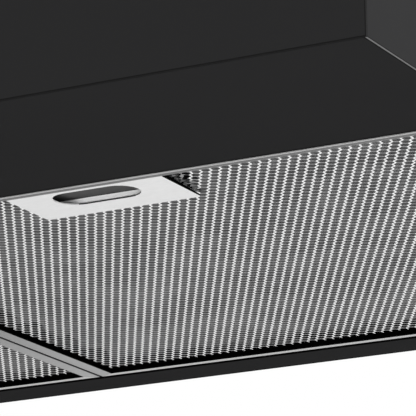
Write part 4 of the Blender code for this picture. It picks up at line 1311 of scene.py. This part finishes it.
class HOOD_OT_controls(bpy.types.Operator):
    """Build the control plate and its five push buttons"""

    bl_idname = "hood.controls"
    bl_label = "Controls"

    MARKS = {
        "light_button": 0,
        "off_button": 0,
        "low_button": 1,
        "medium_button": 2,
        "high_button": 3,
    }

    def execute(self, context):
        fit_cad_shape("control_plate", "control_fascia", "black_plastic", 0.0003)
        fit_cad_shape("switch_board", "button_board", "circuit_board", 0.0002, 1)
        for node, dots in self.MARKS.items():
            self.button(node, dots)
        return {"FINISHED"}

    def button(self, node, dots):
        """A cap with a dished face and its marks standing in the dish."""
        low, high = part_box(node)
        shape = bmesh.new()
        add_block(shape, low, high)
        front = [face for face in shape.faces if face.normal.y < -0.9]
        bmesh.ops.inset_region(shape, faces=front, thickness=DISH_BORDER, depth=0.0)
        bmesh.ops.translate(shape, verts=corners_of(front), vec=(0, DISH_DEPTH, 0))
        round_edges(shape, sharp_edges(shape, limit=12), CAP_ROUNDING, 2)
        face_y = low.y + DISH_DEPTH
        middle_x, middle_z = (low.x + high.x) / 2, (low.z + high.z) / 2
        stand = Matrix.Rotation(math.radians(90), 4, "X")
        spots = [(index - (dots - 1) / 2) * DOT_PITCH for index in range(dots)]
        marks = []
        for spot in spots:
            marks += self.disc(shape, (middle_x + spot, face_y, middle_z), DOT_RADIUS, stand)
        if node == "off_button":
            marks += self.ring(shape, (middle_x, face_y, middle_z), *POWER_RING, stand)
        if node == "light_button":
            marks += self.disc(shape, (middle_x, face_y, middle_z), SUN_RADIUS, stand)
            for ray in range(SUN_RAYS):
                turn = Matrix.Rotation(math.tau * ray / SUN_RAYS, 4, "Y")
                place = Matrix.Translation((middle_x, face_y, middle_z)) @ turn
                out = Matrix.Translation((0, 0, SUN_RAY_OUT))
                size = Matrix.Diagonal((*SUN_RAY, 1))
                made = bmesh.ops.create_cube(shape, size=1.0, matrix=place @ out @ size)
                marks += faces_at(made["verts"])
        paint_faces(marks, 1)
        fit_piece(
            node.replace("button", "cap"),
            shape,
            ["black_plastic", "button_mark"],
            BODY_OF[node],
            [node],
        )

    @staticmethod
    def disc(shape, centre, radius, stand):
        made = bmesh.ops.create_cone(
            shape,
            cap_ends=True,
            segments=20,
            radius1=radius,
            radius2=radius,
            depth=MARK_THICK,
            matrix=Matrix.Translation(centre) @ stand,
        )
        return faces_at(made["verts"])

    @staticmethod
    def ring(shape, centre, outer, inner, stand):
        """A flat ring, made by spinning a small rectangle."""
        half = MARK_THICK / 2
        before = set(shape.faces)
        corners = [(outer, half), (outer, -half), (inner, -half), (inner, half)]
        turn_outline(shape, corners, 28, closed=True)
        faces = [face for face in shape.faces if face not in before]
        bmesh.ops.recalc_face_normals(shape, faces=faces)
        matrix = Matrix.Translation(centre) @ stand
        bmesh.ops.transform(shape, verts=corners_of(faces), matrix=matrix)
        return faces


# ------------------------------------------------------------------ outlet, blower and wiring


class HOOD_OT_outlet(bpy.types.Operator):
    """Build the duct collar and the butterfly damper in it"""

    bl_idname = "hood.outlet"
    bl_label = "Duct outlet"

    def execute(self, context):
        fit_cad_shape("duct_collar", "collar", "galvanised_sheet", 0.0002, 1)
        fit_cad_shape("damper_rod", "damper_axle", "spring_steel", 0.0003)
        for end in ("front", "rear"):
            fit_cad_shape(f"{end}_damper_flap", f"{end}_flap", "damper_aluminium", 0.0002, 1)
        return {"FINISHED"}


class HOOD_OT_blower(bpy.types.Operator):
    """Build the motor, its bracket, and the twin blower"""

    bl_idname = "hood.blower"
    bl_label = "Blower"

    def execute(self, context):
        fit_cad_shape("motor", "motor_body", "motor_steel", 0.0006)
        fit_cad_shape("motor_bracket", "motor_strap", "galvanised_sheet", 0.0003, 1)
        fit_cad_shape("blower_shaft", "shaft", "spring_steel", 0.0004)
        for side in SIDES:
            fit_cad_shape(f"{side}_scroll", f"{side}_casing", "galvanised_sheet", 0.0002, 1)
            fit_cad_shape(f"{side}_impeller", f"{side}_wheel", "galvanised_sheet", 0)
        return {"FINISHED"}


class HOOD_OT_wiring(bpy.types.Operator):
    """Build the wiring box, its cover and fittings, the capacitor and the cable grommet"""

    bl_idname = "hood.wiring"
    bl_label = "Wiring"

    def execute(self, context):
        fit_cad_shape("wiring_box", "junction_box", "galvanised_sheet", 0.0002, 1)
        fit_cad_shape("wiring_box_cover", "junction_cover", "galvanised_sheet", 0.0002, 1)
        fit_cad_shape("terminal_block", "terminals", "grey_plastic", 0.0003, 1)
        fit_cad_shape("cable_grommet", "grommet", "black_plastic", 0.0004)
        fit_cad_shape("capacitor", "run_capacitor", "satin_bezel", 0.0003)
        for index in (1, 2):
            fit_cad_shape(f"cover_screw_{index}", f"pan_head_screw_{index}", "spring_steel", 0.0002, 1)
        return {"FINISHED"}


# ------------------------------------------------------------------ stage


class HOOD_OT_stage(bpy.types.Operator):
    """Set up the camera, the soft studio light and the pale floor"""

    bl_idname = "hood.stage"
    bl_label = "Stage"

    def execute(self, context):
        settings = context.scene.hood_stage
        context.scene.view_settings.view_transform = "Standard"
        self.camera(context.scene, settings)
        self.studio(context.scene, settings)
        self.floor(settings)
        for name, (place, size, power) in SOFTBOXES.items():
            self.softbox(name, place, size, power)
        return {"FINISHED"}

    def camera(self, scene, settings):
        turn, tilt, roll = settings.aim
        camera = bpy.data.objects.new("camera", bpy.data.cameras.new("camera"))
        camera.data.lens = settings.lens
        camera.data.sensor_width = 36.0
        camera.data.clip_start = 0.01
        level = Matrix.Rotation(turn, 4, "Z") @ Matrix.Rotation(tilt + math.radians(90), 4, "X")
        camera.matrix_world = (
            Matrix.Translation(settings.camera) @ level @ Matrix.Rotation(roll, 4, "Z")
        )
        scene.collection.objects.link(camera)
        scene.camera = camera

    def studio(self, scene, settings):
        world = bpy.data.worlds.new("studio")
        world.use_nodes = True
        tree = world.node_tree
        back = tree.nodes["Background"]
        back.inputs["Color"].default_value = (1.0, 1.0, 1.0, 1.0)
        back.inputs["Strength"].default_value = settings.ambient
        white = add_node(tree, "ShaderNodeBackground", Color=(1.0, 1.0, 1.0, 1.0), Strength=1.0)
        path = add_node(tree, "ShaderNodeLightPath")
        choose = add_node(tree, "ShaderNodeMixShader")
        tree.links.new(path.outputs["Is Camera Ray"], choose.inputs["Fac"])
        tree.links.new(back.outputs["Background"], choose.inputs[1])
        tree.links.new(white.outputs["Background"], choose.inputs[2])
        tree.links.new(choose.outputs["Shader"], tree.nodes["World Output"].inputs["Surface"])
        scene.world = world

    def floor(self, settings):
        shape = bmesh.new()
        bmesh.ops.create_circle(
            shape,
            cap_ends=True,
            segments=96,
            radius=7.0,
            matrix=Matrix.Translation((0, 0, settings.floor)),
        )
        mesh = bpy.data.meshes.new("pale_floor")
        shape.to_mesh(mesh)
        shape.free()
        floor = bpy.data.objects.new("pale_floor", mesh)
        bpy.context.scene.collection.objects.link(floor)
        made = finish(
            "floor_paint",
            (grey(0.78), grey(0.80)),
            (0.7, 0.8),
            scale=40.0,
            film=0.05,
            film_scale=1.0,
            specular=0.2,
        )
        tree = made.node_tree
        clear = add_node(tree, "ShaderNodeBsdfTransparent")
        choose = add_node(tree, "ShaderNodeMixShader")
        facing = add_node(tree, "ShaderNodeNewGeometry")
        tree.links.new(facing.outputs["Backfacing"], choose.inputs["Fac"])
        tree.links.new(tree.nodes["Principled BSDF"].outputs["BSDF"], choose.inputs[1])
        tree.links.new(clear.outputs["BSDF"], choose.inputs[2])
        tree.links.new(choose.outputs["Shader"], tree.nodes["Material Output"].inputs["Surface"])
        mesh.materials.append(made)

    def softbox(self, name, place, size, power):
        data = bpy.data.lights.new(name, "AREA")
        data.shape = "SQUARE"
        data.size = size
        data.energy = power
        lamp = bpy.data.objects.new(name, data)
        lamp.location = place
        aim = Vector((0, 0, UNDERSIDE / 2)) - Vector(place)
        lamp.rotation_mode = "QUATERNION"
        lamp.rotation_quaternion = aim.to_track_quat("-Z", "Y")
        lamp.visible_camera = False
        bpy.context.scene.collection.objects.link(lamp)


# ------------------------------------------------------------------ panel and start


class HOOD_PT_tools(bpy.types.Panel):
    """Shows three settings and a button for each step that builds the hood"""

    bl_label = "Range hood"
    bl_idname = "HOOD_PT_tools"
    bl_space_type = "VIEW_3D"
    bl_region_type = "UI"
    bl_category = "Range hood"

    def draw(self, context):
        layout = self.layout
        layout.prop(context.scene.hood_paint, "colour")
        layout.prop(context.scene.hood_filter, "pitch")
        layout.prop(context.scene.hood_stage, "ambient")
        for operator in OPERATORS:
            layout.operator(operator.bl_idname)


OPERATORS = (
    HOOD_OT_panels,
    HOOD_OT_filter_frames,
    HOOD_OT_filter_mesh,
    HOOD_OT_foil_packs,
    HOOD_OT_latches,
    HOOD_OT_lamps,
    HOOD_OT_controls,
    HOOD_OT_outlet,
    HOOD_OT_blower,
    HOOD_OT_wiring,
    HOOD_OT_stage,
)
SETTINGS = {
    "hood_paint": HOOD_PG_paint,
    "hood_filter": HOOD_PG_filter,
    "hood_stage": HOOD_PG_stage,
}


def register():
    for group in (*SETTINGS.values(), *OPERATORS, HOOD_PT_tools):
        bpy.utils.register_class(group)
    for name, group in SETTINGS.items():
        setattr(bpy.types.Scene, name, bpy.props.PointerProperty(type=group))


def unregister():
    for name in SETTINGS:
        delattr(bpy.types.Scene, name)
    for group in reversed((*SETTINGS.values(), *OPERATORS, HOOD_PT_tools)):
        bpy.utils.unregister_class(group)


def main():
    register()
    mix_finishes()
    bpy.ops.hood.panels()
    bpy.ops.hood.filter_frames()
    bpy.ops.hood.filter_mesh()
    bpy.ops.hood.foil_packs()
    bpy.ops.hood.latches()
    bpy.ops.hood.lamps()
    bpy.ops.hood.controls()
    bpy.ops.hood.outlet()
    bpy.ops.hood.blower()
    bpy.ops.hood.wiring()
    bpy.ops.hood.stage()


if __name__ == "__main__":
    main()
